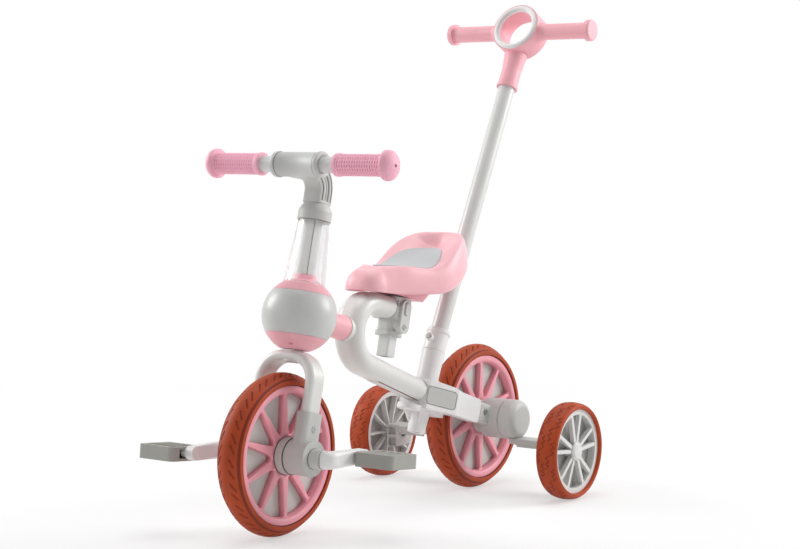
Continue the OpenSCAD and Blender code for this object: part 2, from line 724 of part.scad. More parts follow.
// rim leans in over the back
function rim_in(x) = 2 + 6 * smooth01((wide_x + 10 - x) / 60);
function top_z(x, k) = rim_z(x) - dish(x) * (1 - pow(abs(k), 2.6));
function station(i, n, end) = let (m = (saddle_nose_x + saddle_tail_x) / 2)
    m + (saddle_nose_x - m - end) * cos(180 * i / n);
// half of the outline over the skin at x, from the skirt on the left to the top's middle; side mirrors it
function skin_half(x, cut, low, side) = let (w = max(0.5, plan_half(x) - cut), r = max(0.4, w - rim_in(x)),
    z0 = skirt_z(x), z1 = rim_z(x) - cut) concat(
    [[x, side * low, z0], [x, side * w, z0 * 0.6 + z1 * 0.4], [x, side * (r + (w - r) * 0.55), z1 - 6],
        [x, side * r, z1]],
    [for (j = [1:5]) let (k = 1 - j / 6) [x, side * k * r, top_z(x, k) - cut]]);
function back_to_front(list) = [for (i = [len(list) - 1:-1:0]) list[i]];
function skirt_half(x) = let (w = max(0.5, plan_half(x))) w * w / (w + 6);
// one cross section of the shell: over the outside from left to right, then back along the inside
function shell_points(x) = let (low = skirt_half(x),
    hollow = min(x - saddle_tail_x, saddle_nose_x - x) > saddle_wall,
    inside = hollow
        ? concat(skin_half(x, saddle_wall, low - saddle_wall, -1), [[x, 0, top_z(x, 0) - saddle_wall]],
            back_to_front(skin_half(x, saddle_wall, low - saddle_wall, 1)))
        : [for (j = [-9:9]) [x, low * j / 11, skirt_z(x) + 0.3 * (1 - pow(j / 9, 2))]])
    concat(skin_half(x, 0, low, 1), [[x, 0, top_z(x, 0)]], back_to_front(skin_half(x, 0, low, -1)), inside);
// closed skin over rows of points, every row with the same count
module skin(rows) {
    n = len(rows) - 1;
    m = len(rows[0]);
    polyhedron(points = [for (r = rows) for (p = r) p], faces = concat(
        [[for (j = [0:m - 1]) m - 1 - j]],
        [[for (j = [0:m - 1]) n * m + j]],
        [for (i = [0:n - 1]) for (j = [0:m - 1]) let (a = i * m + j, b = i * m + (j + 1) % m) [a, b,
            a + m]],
        [for (i = [0:n - 1]) for (j = [0:m - 1]) let (a = i * m + j, b = i * m + (j + 1) % m) [b,
            b + m, a + m]]));
}
// shallow rows of points made into a thin curved plate on the saddle
function pad_half(x) = 39 * pow(sin(180 * pow((x - pad_back_x) / (pad_front_x - pad_back_x), 0.72)), 0.8);
module saddle() {
    color(pale_pink) skin([for (i = [0:30]) shell_points(station(i, 30, 0.6))]);
}
module saddle_pad() {
    n = 24;
    h = 1.4;
    color(grey) skin([for (i = [0:n]) let (x = (pad_front_x + pad_back_x) / 2
        + (pad_front_x - pad_back_x - 3) / 2 * cos(180 * i / n),
        p = max(1.5, pad_half(x)), r = plan_half(x) - rim_in(x))
        concat([for (j = [0:8]) let (k = 1 - j / 4) [x, k * p, top_z(x, k * p / r) + 0.7 + h]],
            [for (j = [0:8]) let (k = -1 + j / 4) [x, k * p, top_z(x, k * p / r) + 0.7]])]);
}
module saddle_bracket() {
    color(pink) at_seat(0) difference() {
        rotate([90, 0, 0]) translate([0, 0, -20]) linear_extrude(40) polygon([[-46, -4], [64, -4], [72,
            4], [72, 17],
            [64, 19], [8, 32.6], [-24, 32.8], [-39, 33.8], [-58, 33.8], [-58, 8]]);
        translate([-50, -15, 14]) cube([116, 30, 30]);
        translate([0, 0, -10]) linear_extrude(22.1) round_rect(post_w + 2 * seam, post_w + 2 * seam, 2.5);
    }
}

// push bar

module push_tube() {
    color(pale) at_push(tube_low_t) difference() {
        cylinder(d = push_d, h = ring_t - ring_d / 2 + 2 - tube_low_t);
        translate([0, 0, -1]) cylinder(d = push_d - 2 * push_wall, h = ring_t);
    }
}
module push_handle() {
    color(pink) at_push(ring_t) difference() {
        union() {
            translate([ring_ahead - ring_deep / 2, 0, 0]) rotate([0, 90, 0]) cylinder(d = ring_d,
                h = ring_deep);
            translate([0, 0, neck_low_t - ring_t]) cylinder(d = push_d + 4.5, h = ring_t - neck_low_t - 10);
            translate([0, 0, neck_low_t - ring_t]) cylinder(d = push_d + 7, h = 5);
            translate([0, 0, -ring_d / 2 - 26]) cylinder(d1 = push_d + 4.5, d2 = 36, h = 28);
            translate([ring_ahead, 0, 0]) ycyl(grip_bar_d, -grip_bar_half + 2, grip_bar_half - 2);
            for (s = [0, 1]) flip(s == 1) translate([ring_ahead, 0, 0]) {
                rotate([-90, 0, 0]) translate([0, 0, ring_d / 2 - 4]) cylinder(d1 = 33,
                    d2 = grip_bar_d, h = 12);
                rotate([-90, 0, 0]) rotate_extrude() {
                    translate([0, grip_bar_half - 9]) square([16.5, 6]);
                    translate([0, grip_bar_half - 9]) square([13.5, 9]);
                    translate([13.5, grip_bar_half - 3]) circle(r = 3);
                }
            }
        }
        translate([-100, 0, 0]) rotate([0, 90, 0]) cylinder(d = ring_hole_d, h = 200);
        translate([ring_ahead + ring_deep / 2 - 4, 0, 0]) rotate([0, 90, 0]) cylinder(d = ring_d - 3,
            h = 20);
        translate([0, 0, neck_low_t - ring_t - 1]) cylinder(d = push_d + 2 * seam,
            h = ring_t - neck_low_t - ring_d / 2 + 3.2);
    }
}
module push_ring_insert() {
    color(white) at_push(ring_t) translate([ring_ahead + ring_deep / 2 - 4 + seam, 0, 0]) rotate([0, 90, 0])
        rotate_extrude() {
            translate([ring_hole_d / 2, 0]) square([(ring_d - ring_hole_d) / 2 - 1.5 - seam, 4]);
            translate([(ring_hole_d + ring_d) / 4 - 0.8, 4]) circle(r = 3);
        }
}

// steering

arch_t = fork_crown_t - fork_thick / 2 - fork_bend_r;
module fork() {
    color(pale) at_steer() difference() {
        union() {
            for (s = [0, 1]) flip(s == 1) translate([0, fork_half - fork_bend_r, arch_t]) rotate([90,
                0, 90])
                rotate_extrude(angle = 90) translate([fork_bend_r, 0])
                    oval(fork_thick + bend_step, fork_deep + bend_step);
            translate([0, fork_bend_r - fork_half - lap, arch_t + fork_bend_r]) rotate([-90, 0, 0])
                linear_extrude(2 * (fork_half - fork_bend_r + lap)) rotate([0, 0, 90]) oval(fork_thick,
                    fork_deep);
            for (s = [-1, 1]) translate([0, s * fork_half, 14]) linear_extrude(arch_t - 14 + lap)
                rotate([0, 0, 90]) oval(fork_thick, fork_deep);
            translate([0, 0, fork_crown_t - fork_thick]) cylinder(d = 27,
                h = fork_thick + head_gap - 2 * gap);
            // shoulder that carries the lower bush
            translate([0, 0, fork_crown_t])
                cylinder(d = head_bore_d - 2 * gap, h = ball_t - bush_end - gap - fork_crown_t);
        }
        translate([0, 0, fork_crown_t - 40]) cylinder(d = steerer_d + 2 * seam,
            h = ball_t - fork_crown_t + 40);
    }
}
steerer_low_t = fork_crown_t - fork_thick + 1;
stem_low_t = ball_t + ball_r + 5;
module steerer() {
    color(steel) at_steer() {
        translate([0, 0, steerer_low_t]) cylinder(d = steerer_d, h = stem_low_t - seam - steerer_low_t);
        translate([0, 0, ball_t + ball_r]) cylinder(d = spigot_d, h = collar_t + 22 - ball_t - ball_r);
    }
}
module fork_end(right) {
    color(grey) flip(right) difference() {
        union() {
            at_front() ycyl(fork_drum_d, hub_half + 1.5, fork_face);
            at_front() ycyl(26.5, fork_half + 10, collar_out);
            at_steer(0) translate([0, fork_half, 0]) linear_extrude(fork_cover_t) rotate([0, 0, 90])
                round_rect(fork_thick + 7, fork_deep + 5, 7);
        }
        at_steer(14 - seam) translate([0, fork_half, 0]) linear_extrude(120) rotate([0, 0, 90])
            oval(fork_thick + 2 * seam, fork_deep + 2 * seam);
        at_front() ycyl(axle_d + 2 * gap, 0, 100);
        at_steer(38) translate([0, fork_half + fork_thick / 2 + 1.8, 0]) rotate([-90, 0, 0])
            cylinder(d = 9, h = 6);
    }
}
module fork_end_left() { fork_end(false); }
module fork_end_right() { fork_end(true); }
module fork_screws() {
    color(steel) for (s = [0, 1]) flip(s == 1) at_steer(38) translate([0,
        fork_half + fork_thick / 2 + 1.9, 0])
        rotate([-90, 0, 0]) screw_head(8.4, 2.2);
}
module stem_tube() {
    color(grey) at_steer(stem_low_t) difference() {
        linear_extrude(collar_t - stem_low_t - seam) round_rect(18, 18, 1.5);
        translate([0, 0, -1]) cylinder(d = spigot_d + 2 * seam, h = 200);
    }
}
light_r = light_d / 2;
// the clear tube stands on the ball
light_low_t = ball_t + sqrt(pow(ball_r, 2) - pow(light_r, 2)) + 0.65;
module light_tube() {
    color([0.85, 0.87, 0.88, 0.35]) at_steer() rotate_extrude() polygon([[light_r, light_low_t],
        [21.8, collar_t - seam], [19.3, collar_t - seam], [light_r - 2.5, light_low_t + 2]]);
}
module stem_collar() {
    color(grey) at_steer() difference() {
        rotate_extrude() polygon([[0, collar_t], [22, collar_t], [23.2, collar_t + 1.2], [23.2,
            collar_t + 13],
            [21.5, collar_t + 17], [17.2, collar_t + 24], [0, collar_t + 24]]);
        translate([0, 0, collar_t - 1]) cylinder(d = spigot_d + 2 * seam, h = 23.2);
    }
}
neck_t = collar_t + 24 + seam;
stem_bend_r = 28;
bend_t = bar_t - stem_bend_r;
flare_r = 15;
flare_t = bar_t - clamp_d / 2 + 1.5;
module flare() {
    arc = [for (i = [0:6]) let (t = 180 - 15 * i)
        [neck_w / 2 + flare_r * (1 + cos(t)), flare_t + flare_r * (sin(t) - 1)]];
    side = neck_w / 2 + flare_r;
    polygon(concat(arc, [[side, flare_t + 4], [-side, flare_t + 4]],
        [for (i = [6:-1:0]) [-arc[i][0], arc[i][1]]]));
}
module stem() {
    color(grey) at_steer() difference() {
        union() {
            translate([0, 0, neck_t]) linear_extrude(bend_t - neck_t + lap) round_rect(neck_w, neck_w, 6);
            translate([stem_bend_r, 0, bend_t]) rotate([90, 0, 0]) rotate([0, 0, 90])
                rotate_extrude(angle = 90)
                translate([stem_bend_r, 0]) round_rect(neck_w + bend_step, neck_w + bend_step, 6);
            translate([stem_bend_r - lap, 0, bar_t]) rotate([0, 90, 0])
                linear_extrude(bar_ahead - stem_bend_r + lap)
                round_rect(neck_w, neck_w, 6);
            // flare under the clamp
            translate([12, 0, 0]) rotate([90, 0, 90]) linear_extrude(bar_ahead - 14.6) flare();
            translate([bar_ahead, 0, bar_t]) {
                ycyl(clamp_d, -clamp_half, clamp_half);
                for (s = [0, 1]) flip(s == 1) ycyl(clamp_d + 2, clamp_half - 7, clamp_half - 1);
            }
        }
        translate([bar_ahead, 0, bar_t]) ycyl(bar_d + 2 * seam, -100, 100);
        for (s = [-1, 1], r = [-10, -4, 2, 8] + stem_bend_r * [1, 1, 1, 1])
            translate([stem_bend_r, s * (neck_w / 2 - 1.4) - 3 * (s < 0 ? 1 : 0), bend_t]) {
            rotate([90, 0, 0]) mirror([0, 0, 1]) rotate([0, 0, 96]) rotate_extrude(angle = 84)
                translate([r, 0]) square([2.2, 3]);
            translate([-r - 2.4, s * 0.2, neck_t - bend_t + 3]) cube([2.6, 3, bend_t - neck_t - 3 + lap]);
        }
    }
}
module handlebar() {
    color(steel) at_steer(bar_t) translate([bar_ahead, 0, 0]) difference() {
        ycyl(bar_d, -bar_half, bar_half);
        ycyl(bar_d - 4, -bar_half - 1, bar_half + 1);
    }
}
module grip(right) {
    fr = grip_flange_d / 2;
    color(pink) at_steer(bar_t) translate([bar_ahead, 0, 0]) flip(right) difference() {
        rotate([-90, 0, 0]) rotate_extrude() {
            translate([0, grip_in]) square([grip_d / 2 + 1, 7]);
            translate([0, grip_in + 2]) square([grip_d / 2, grip_out - grip_in - 14]);
            polygon([[0, grip_out - 23], [grip_d / 2, grip_out - 23], [fr, grip_out - 20.5], [fr,
                grip_out - 13],
                [fr - 1.5, grip_out - 8], [fr - 6, grip_out - 3.5], [fr - 12, grip_out - 0.8], [0,
                    grip_out]]);
        }
        ycyl(bar_d + 2 * seam, grip_in - 1, bar_half + 0.3);
        ycyl(3, grip_out - 4, grip_out + 1);
    }
}
module grip_left() { grip(false); }
module grip_right() { grip(true); }

// large wheels

crown_a = asin(tread_half / crown_r);
// half outline of a large tyre: bead, flat side, step, crown
function tyre_half() = concat([[rim_r + seam, tyre_w / 2 - 1.5], [rim_r + bead_h * 0.1, tyre_w / 2],
    [rim_r + bead_h * 0.72, tyre_w / 2], [rim_r + bead_h * 0.83, tyre_w / 2 - 1.8]],
    [for (i = [0:8]) let (t = crown_a * (1 - i / 8)) [wheel_r - crown_r + crown_r * cos(t),
        crown_r * sin(t)]]);
module large_tyre() {
    half = tyre_half();
    n = len(half);
    color(tan_rubber) rotate([90, 0, 0]) rotate_extrude() polygon(concat(half,
        [for (i = [n - 2:-1:0]) [half[i][0], -half[i][1]]]));
}
module wheel_core() {
    color(grey) difference() {
        rotate([90, 0, 0]) rotate_extrude() {
            translate([rim_r - 8, -barrel_half]) square([8, 2 * barrel_half]);
            translate([0, -disc_half]) square([rim_r - 6, 2 * disc_half]);
            translate([0, -hub_half]) square([hub_d / 2, 2 * hub_half]);
        }
        for (s = [0, 1]) flip(s == 1) translate([0, hub_half - 8, 0]) rotate([-90, 0, 0]) rotate_extrude()
            translate([hub_d / 2, 0]) circle(r = 0.8);
    }
}
// window between two spokes
window_in = cover_hub_d / 2 + 4;
window_out = rim_r - 11;
half_step = 180 / spokes;
function corner(dist, ang, from, to) = [for (i = [0:4]) let (t = from + (to - from) * i / 4)
    [dist * cos(ang) + window_r * cos(t), dist * sin(ang) + window_r * sin(t)]];
module spoke_window() {
    side = 90 + half_step;
    ro = window_out - window_r;
    ri = window_in + window_r;
    a = half_step - asin((spoke_w / 2 + window_r) / ro);
    b = half_step - asin((spoke_w / 2 + window_r) / ri);
    polygon(concat([for (i = [-2:2]) [window_out * cos(i * a / 3), window_out * sin(i * a / 3)]],
        corner(ro, a, a, side), corner(ri, b, side, 180 + b), corner(ri, -b, 180 - b, 360 - side),
        corner(ro, -a, 360 - side, 360 - a)));
}
module spoked_cover(right) {
    color(pink) flip(right) rotate([-90, 0, 0]) union() {
        translate([0, 0, disc_half + seam]) linear_extrude(barrel_half - disc_half - seam) difference() {
            circle(r = rim_r - 8 - seam);
            circle(d = hub_d + 2 * seam);
            for (i = [0:spokes - 1]) rotate([0, 0, -90 + (i + 0.5) * 360 / spokes]) spoke_window();
        }
        rotate_extrude() polygon([[rim_r - 10.5, barrel_half - 1], [rim_r - 8.2, barrel_half - 1],
            [rim_r - 8.2, barrel_half + seam], [rim_r, barrel_half + seam], [rim_r, barrel_half + 3],
            [rim_r - 1.2, barrel_half + 4.2], [rim_r - 6.5, barrel_half + 4.2], [rim_r - 10.5,
                barrel_half + 1]]);
        rotate_extrude() polygon([[hub_d / 2 + 1, barrel_half - 1], [cover_hub_d / 2 - 1, barrel_half - 1],
            [cover_hub_d / 2 - 3, barrel_half + 2], [hub_d / 2 + 1, barrel_half + 2]]);
    }
}
module front_tyre() { at_front() large_tyre(); }
module front_core() {
    color(grey) at_front() difference() { wheel_core(); ycyl(axle_d + 2 * seam, -50, 50); }
}
module front_spokes_left() { at_front() spoked_cover(false); }
module front_spokes_right() { at_front() spoked_cover(true); }
module rear_tyre() { at_rear() large_tyre(); }
module rear_core() {
    color(grey) at_rear() difference() { wheel_core(); ycyl(axle_d + 2 * gap, -50, 50); }
}
module rear_spokes_left() { at_rear() spoked_cover(false); }
module rear_spokes_right() { at_rear() spoked_cover(true); }

// pedals

spindle_half = crank_in + 5;
elbow_r = crank_t / 2 + 1;
module crank_spindle() { color(steel) at_front() ycyl(axle_d, -spindle_half, spindle_half); }
// x runs along the arm, y across it, z away from the wheel
module crank_shape() {
    difference() {
        union() {
            translate([elbow_r, 0, 0]) rotate([-90, 0, 0]) mirror([0, 1, 0]) rotate([0, 0, 90])
                rotate_extrude(angle = 90) translate([elbow_r, 0])
                    oval(crank_t + bend_step, crank_h + bend_step);
            hull() {
                translate([elbow_r - lap, 0, elbow_r]) rotate([0, 90, 0]) linear_extrude(lap)
                    oval(crank_t, crank_h);
                translate([crank_l, 0, elbow_r - 6.5]) cylinder(d = crank_end_h, h = 13);
            }
            translate([crank_l, 0, elbow_r]) {
                cylinder(d = 15, h = pedal_in + 6 - crank_in - elbow_r);
                cylinder(d = 8, h = pedal_in + pedal_w - 12 - crank_in - elbow_r);
            }
        }
        translate([0, 0, -1]) cylinder(d = axle_d + 2 * seam, h = spindle_half - crank_in + 1 + seam);
    }
}
module crank(right) {
    color(white) at_front() rotate([0, -crank_angle, 0]) flip(right) translate([0, crank_in, 0])
        rotate([-90, 0, 0]) mirror([right ? 0 : 1, 0, 0]) crank_shape();
}
module crank_left() { crank(false); }
module crank_right() { crank(true); }
module pedal(right) {
    color(grey) at_front() translate([right ? pin_x : -pin_x, 0, right ? pin_z : -pin_z]) flip(right)
        difference() {
        rotate([0, -pedal_tilt, 0]) difference() {
            translate([0, pedal_in + pedal_w / 2, -pedal_t / 2 - pedal_drop]) linear_extrude(pedal_t)
                round_rect(pedal_l, pedal_w, 8);
            translate([-pedal_l / 2 + 15, pedal_in - 1, -6 - pedal_drop]) cube([pedal_l - 30, 13, 12]);
            // grip pockets in the top and the bottom
            for (j = [0:3], k = [-1, 1]) translate([-pedal_l / 2 + 8, pedal_in + 8 + j * 12.5,
                k * pedal_t / 2 - pedal_drop - 1.3])
                cube([pedal_l - 16, 8, 2.6]);
        }
        translate([0, pedal_in, 0]) ycyl(8 + 2 * gap, -1, pedal_w - 11);
        translate([0, pedal_in, 0]) ycyl(15 + 2 * gap, -1, 6 + gap);
    }
}
module pedal_left() { pedal(false); }
module pedal_right() { pedal(true); }

// stabiliser wheels

small_hub_r = 12;
module at_small(right) { flip(right) translate([0, small_y, small_r]) children(); }
module small_tyre(right) {
    color(tan_rubber) at_small(right) rotate([90, 0, 0]) rotate_extrude() difference() {
        intersection() {
            translate([small_r - 20, 0]) round_rect(40, small_w, 6);
            translate([small_r - 48, 0]) circle(r = 48);
            translate([small_rim_r + seam, -small_w]) square([30, 2 * small_w]);
        }
        for (s = [-1, 1]) translate([small_rim_r + 2.6, s * small_w / 2]) circle(d = 2);
    }
}
module training_tyre_left() { small_tyre(false); }
module training_tyre_right() { small_tyre(true); }
module small_rim(right) {
    color(white) at_small(right) difference() {
        union() {
            rotate([-90, 0, 0]) rotate_extrude() {
                translate([small_rim_r - 7, -15]) square([7, 15 + small_face]);
                translate([small_rim_r - 8, small_face - 5]) square([5, 5]);
                translate([0, -small_w / 2 + 1]) square([small_hub_r, small_w / 2 + small_face]);
                translate([0, small_face - 1]) polygon([[0, 0], [14, 0], [14, 2], [10.5, 4.6], [0, 5.4]]);
            }
            for (i = [0:small_pairs - 1]) rotate([0, -i * 360 / small_pairs, 0]) for (s = [-1, 1])
                rotate([0, s * 13, 0]) translate([-2.75, small_face - 7, 9]) cube([5.5, 6.5,
                    small_rim_r - 12]);
            // ribs behind the disc
            for (i = [0:2 * small_pairs - 1]) rotate([0, (i + 0.5) * 180 / small_pairs, 0])
                translate([-1.3, -14, 10]) cube([2.6, 10 - seam, small_rim_r - 15]);
        }
        ycyl(small_axle_d + 2 * gap, -60, 12);
        ycyl(15, -60, -small_w / 2 + 4);
    }
}
module training_rim_left() { small_rim(false); }
module training_rim_right() { small_rim(true); }
module small_disc(right) {
    color(grey) at_small(right) rotate([-90, 0, 0]) rotate_extrude() {
        translate([small_hub_r + seam, -4]) square([small_rim_r - 7 - 2 * seam - small_hub_r, 4]);
    }
}
module training_disc_left() { small_disc(false); }
module training_disc_right() { small_disc(true); }

place() frame_tube();
place() head_ball();
place() head_cap_top();
place() head_cap_bottom();
place() head_sleeve();
place() head_bushes();
place() yoke();
place() yoke_panels();
place() socket_collar();
place() rear_dropout_left();
place() rear_dropout_right();
place() rear_hub_cap_left();
place() rear_hub_cap_right();
place() rear_axle();
place() training_bracket_left();
place() training_bracket_right();
place() training_axles();
place() frame_screws();
place() seat_clamp();
place() seat_button();
place() seat_post();
place() saddle();
place() saddle_pad();
place() saddle_bracket();
place() push_tube();
place() push_handle();
place() push_ring_insert();
place() push_button();
place() fork();
place() steerer();
place() fork_end_left();
place() fork_end_right();
place() fork_screws();
place() stem_tube();
place() light_tube();
place() stem_collar();
place() stem();
place() handlebar();
place() grip_left();
place() grip_right();
place() front_tyre();
place() front_core();
place() front_spokes_left();
place() front_spokes_right();
place() crank_spindle();
place() crank_left();
place() crank_right();
place() pedal_left();
place() pedal_right();
place() rear_tyre();
place() rear_core();
place() rear_spokes_left();
place() rear_spokes_right();
place() training_tyre_left();
place() training_tyre_right();
place() training_rim_left();
place() training_rim_right();
place() training_disc_left();
place() training_disc_right();
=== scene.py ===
"""Looks of the toddler trike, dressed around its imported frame. Metres, +X forward, +Y rider's left, +Z up."""
import math

import bmesh
import bpy
import numpy as np
from mathutils import Matrix, Vector
from mathutils.bvhtree import BVHTree


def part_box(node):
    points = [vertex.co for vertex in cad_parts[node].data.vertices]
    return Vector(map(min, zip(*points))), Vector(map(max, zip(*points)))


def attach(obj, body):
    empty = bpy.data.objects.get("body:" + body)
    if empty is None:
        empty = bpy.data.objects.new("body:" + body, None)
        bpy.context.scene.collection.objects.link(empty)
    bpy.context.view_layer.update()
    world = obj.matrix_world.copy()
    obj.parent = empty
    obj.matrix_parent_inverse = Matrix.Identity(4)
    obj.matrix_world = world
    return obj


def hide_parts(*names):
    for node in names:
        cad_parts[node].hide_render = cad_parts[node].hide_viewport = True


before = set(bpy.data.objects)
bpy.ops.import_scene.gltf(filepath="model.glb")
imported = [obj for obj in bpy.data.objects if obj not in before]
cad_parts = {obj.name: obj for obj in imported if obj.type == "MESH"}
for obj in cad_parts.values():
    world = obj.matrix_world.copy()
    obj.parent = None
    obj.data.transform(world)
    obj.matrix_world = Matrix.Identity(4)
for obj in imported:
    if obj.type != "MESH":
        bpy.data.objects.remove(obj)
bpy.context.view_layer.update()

MM = 0.001
TAU = 2 * math.pi
Y_AXIS = (0, 1, 0)

# Colours, as seen in even light (sRGB)

PINK = (0.960, 0.700, 0.738)
RIM_PINK = (0.950, 0.640, 0.690)
GRIP_PINK = (0.995, 0.725, 0.800)
# Painted shade down in the grips' slits
GRIP_SHADE_PINK = (0.900, 0.530, 0.660)
SADDLE_PINK = (0.985, 0.755, 0.785)
GREY = (0.790, 0.792, 0.780)
BALL_GREY = (0.805, 0.808, 0.798)
PANEL_GREY = (0.775, 0.778, 0.765)
PAD_GREY = (0.770, 0.780, 0.785)
PEDAL_GREY = (0.640, 0.638, 0.612)
DISC_GREY = (0.800, 0.797, 0.782)
# Grey of the training wheels' discs, darkened further as painted shade in their recesses
SMALL_DISC_SHADED_GREY = (0.640, 0.638, 0.625)
SMALL_RIM_WHITE = (0.860, 0.858, 0.850)
FRAME_WHITE = (0.885, 0.885, 0.872)
PLASTIC_WHITE = (0.930, 0.928, 0.925)
TUBE_GREY = (0.845, 0.848, 0.840)
TERRACOTTA = (0.660, 0.250, 0.090)
# Painted shade: the tyres' colour down in their slits and along the seat and the step
GROOVE_SHADE_BROWN = (0.450, 0.140, 0.060)
TRIM_BROWN = (0.430, 0.210, 0.120)
# Painted shadow in gaps, holes and the stem's slots
SHADOW_GREY = (0.330, 0.325, 0.315)
STEEL = (0.720, 0.725, 0.730)
CLEAR_TINT = (0.965, 0.970, 0.972)
FLOOR_WHITE = (0.975, 0.975, 0.975)


def linear(colour):
    """sRGB triple to the linear values that the shaders take."""
    return tuple(c / 12.92 if c <= 0.04045 else ((c + 0.055) / 1.055) ** 2.4 for c in colour) + (1.0,)


# Camera, fitted to the photograph

PHOTO_W, PHOTO_H = 800, 549
FOCAL_PX = 1931.04
PRINCIPAL = (392.38, 258.31)
EYE = Vector((2.24893, 1.61951, 0.52241))
RIGHT = Vector((-0.58508, 0.81096, 0.00510))
BACK = Vector((0.80978, 0.58384, 0.05826))
SENSOR = 36
CLIP_NEAR, CLIP_FAR = 0.05, 50


def make_camera():
    data = bpy.data.cameras.new("camera")
    camera = bpy.data.objects.new("camera", data)
    bpy.context.scene.collection.objects.link(camera)
    back = BACK.normalized()
    up = back.cross(RIGHT).normalized()
    right = up.cross(back)
    turn = Matrix((right, up, back)).transposed().to_4x4()
    camera.matrix_world = Matrix.Translation(EYE) @ turn
    data.sensor_width = SENSOR
    data.lens = FOCAL_PX * SENSOR / PHOTO_W
    data.shift_x = (PHOTO_W / 2 - PRINCIPAL[0]) / PHOTO_W
    data.shift_y = (PRINCIPAL[1] - PHOTO_H / 2) / PHOTO_W
    data.clip_start, data.clip_end = CLIP_NEAR, CLIP_FAR
    bpy.context.scene.camera = camera


# Materials: noise scales per metre, depths and edge radii in metres

EDGE_SAMPLES = 8
DUST_GAIN, DUST_LIFT = 1.16, 0.03
# Sockets of a Mix node that carry colours
MIX_FIRST, MIX_SECOND, MIX_OUT = 6, 7, 2


class Surface:
    """A Principled material and short calls that add nodes to it."""

    def __init__(self, name):
        self.material = bpy.data.materials.new(name)
        self.material.use_nodes = True
        self.tree = self.material.node_tree
        self.shader = self.tree.nodes["Principled BSDF"]
        self.place = self.add("ShaderNodeTexCoord").outputs["Object"]

    def add(self, kind, **settings):
        node = self.tree.nodes.new(kind)
        for key, value in settings.items():
            setattr(node, key, value)
        return node

    def feed(self, source, socket):
        self.tree.links.new(source, socket)

    def paint(self, source):
        self.feed(source, self.shader.inputs["Base Color"])

    def roughen(self, source, low, high):
        self.feed(self.spread(source, low, high), self.shader.inputs["Roughness"])

    def set(self, **values):
        for key, value in values.items():
            self.shader.inputs[key.replace("_", " ")].default_value = value

    def noise(self, scale, detail=3.0, rough=0.55, place=None):
        node = self.add("ShaderNodeTexNoise")
        node.inputs["Scale"].default_value = scale
        node.inputs["Detail"].default_value = detail
        node.inputs["Roughness"].default_value = rough
        self.feed(place or self.place, node.inputs["Vector"])
        return node.outputs["Fac"]

    def spread(self, source, low, high, start=0.3, end=0.7):
        """The source from start to end, mapped to low to high."""
        node = self.add("ShaderNodeMapRange")
        for key, value in (("From Min", start), ("From Max", end), ("To Min", low), ("To Max", high)):
            node.inputs[key].default_value = value
        self.feed(source, node.inputs["Value"])
        return node.outputs["Result"]

    def mix(self, factor, first, second):
        """First where factor is 0, second where it is 1; each a colour or an output."""
        node = self.add("ShaderNodeMix", data_type="RGBA")
        self.feed(factor, node.inputs["Factor"])
        for value, socket in ((first, node.inputs[MIX_FIRST]), (second, node.inputs[MIX_SECOND])):
            if isinstance(value, tuple):
                socket.default_value = value
            else:
                self.feed(value, socket)
        return node.outputs[MIX_OUT]

    def shade(self, colour, scale, amount):
        """The colour with a soft mottle, darker and lighter by amount."""
        dark = linear(tuple(c * (1 - amount) for c in colour))
        light = linear(tuple(min(1, c * (1 + amount)) for c in colour))
        return self.mix(self.spread(self.noise(scale), 0, 1), dark, light)

    def relief(self, heights, radius):
        """Bump from (height source, depth) pairs over edges rounded by radius."""
        edge = self.add("ShaderNodeBevel", samples=EDGE_SAMPLES)
        edge.inputs["Radius"].default_value = radius
        normal = edge.outputs["Normal"]
        for source, depth in heights:
            bump = self.add("ShaderNodeBump")
            bump.inputs["Strength"].default_value = 1.0
            bump.inputs["Distance"].default_value = depth
            self.feed(source, bump.inputs["Height"])
            self.feed(normal, bump.inputs["Normal"])
            normal = bump.outputs["Normal"]
        self.feed(normal, self.shader.inputs["Normal"])

    def in_groove(self, tone, groove_colour):
        """The tone, turning to the groove colour where the mesh's groove attribute marks it: painted shade down
        in grooves, slits and slots, and the brown of the trim's ribs.
        """
        groove = self.add("ShaderNodeAttribute", attribute_name="groove").outputs["Fac"]
        return self.mix(groove, tone, linear(groove_colour))


def moulded(name, colour, rough=0.42, grain=0.00004, edge=0.0009, coat=0.0, groove_colour=None):
    """Injection-moulded plastic: faint flow mottle, fine spark-eroded grain, softly rounded edges."""
    s = Surface(name)
    tone = s.shade(colour, scale=22, amount=0.012)
    s.paint(s.in_groove(tone, groove_colour) if groove_colour else tone)
    s.roughen(s.noise(scale=60), low=rough - 0.05, high=rough + 0.06)
    fine, wavy = s.noise(scale=1800, detail=2), s.noise(scale=35, detail=2)
    s.relief([(fine, grain), (wavy, 0.00012)], radius=edge)
    s.set(IOR=1.46, Coat_Weight=coat, Coat_Roughness=0.2)
    return s.material


def painted(name, colour):
    """Powder paint on steel tube: slight orange peel and a satin coat."""
    s = Surface(name)
    s.paint(s.shade(colour, scale=14, amount=0.008))
    s.roughen(s.noise(scale=45), low=0.30, high=0.40)
    peel, dust = s.noise(scale=420, detail=2), s.noise(scale=2400, detail=1)
    s.relief([(peel, 0.00002), (dust, 0.000003)], radius=0.0002)
    s.set(IOR=1.5, Coat_Weight=0.25, Coat_Roughness=0.22)
    return s.material


def rubber(name, colour, groove):
    """Foamed tyre rubber: mottled, dusty in patches, with painted shade down in its grooves."""
    s = Surface(name)
    dusty = linear(tuple(min(1, c * DUST_GAIN + DUST_LIFT) for c in colour))
    patches = s.spread(s.noise(scale=9, detail=5), low=0, high=0.22, start=0.45, end=0.75)
    worn = s.mix(patches, s.shade(colour, scale=40, amount=0.05), dusty)
    s.paint(s.in_groove(worn, groove))
    s.roughen(s.noise(scale=80), low=0.50, high=0.62)
    coarse, fine = s.noise(scale=900), s.noise(scale=2600, detail=2)
    s.relief([(coarse, 0.00007), (fine, 0.00003)], radius=0.0004)
    s.set(IOR=1.38)
    return s.material


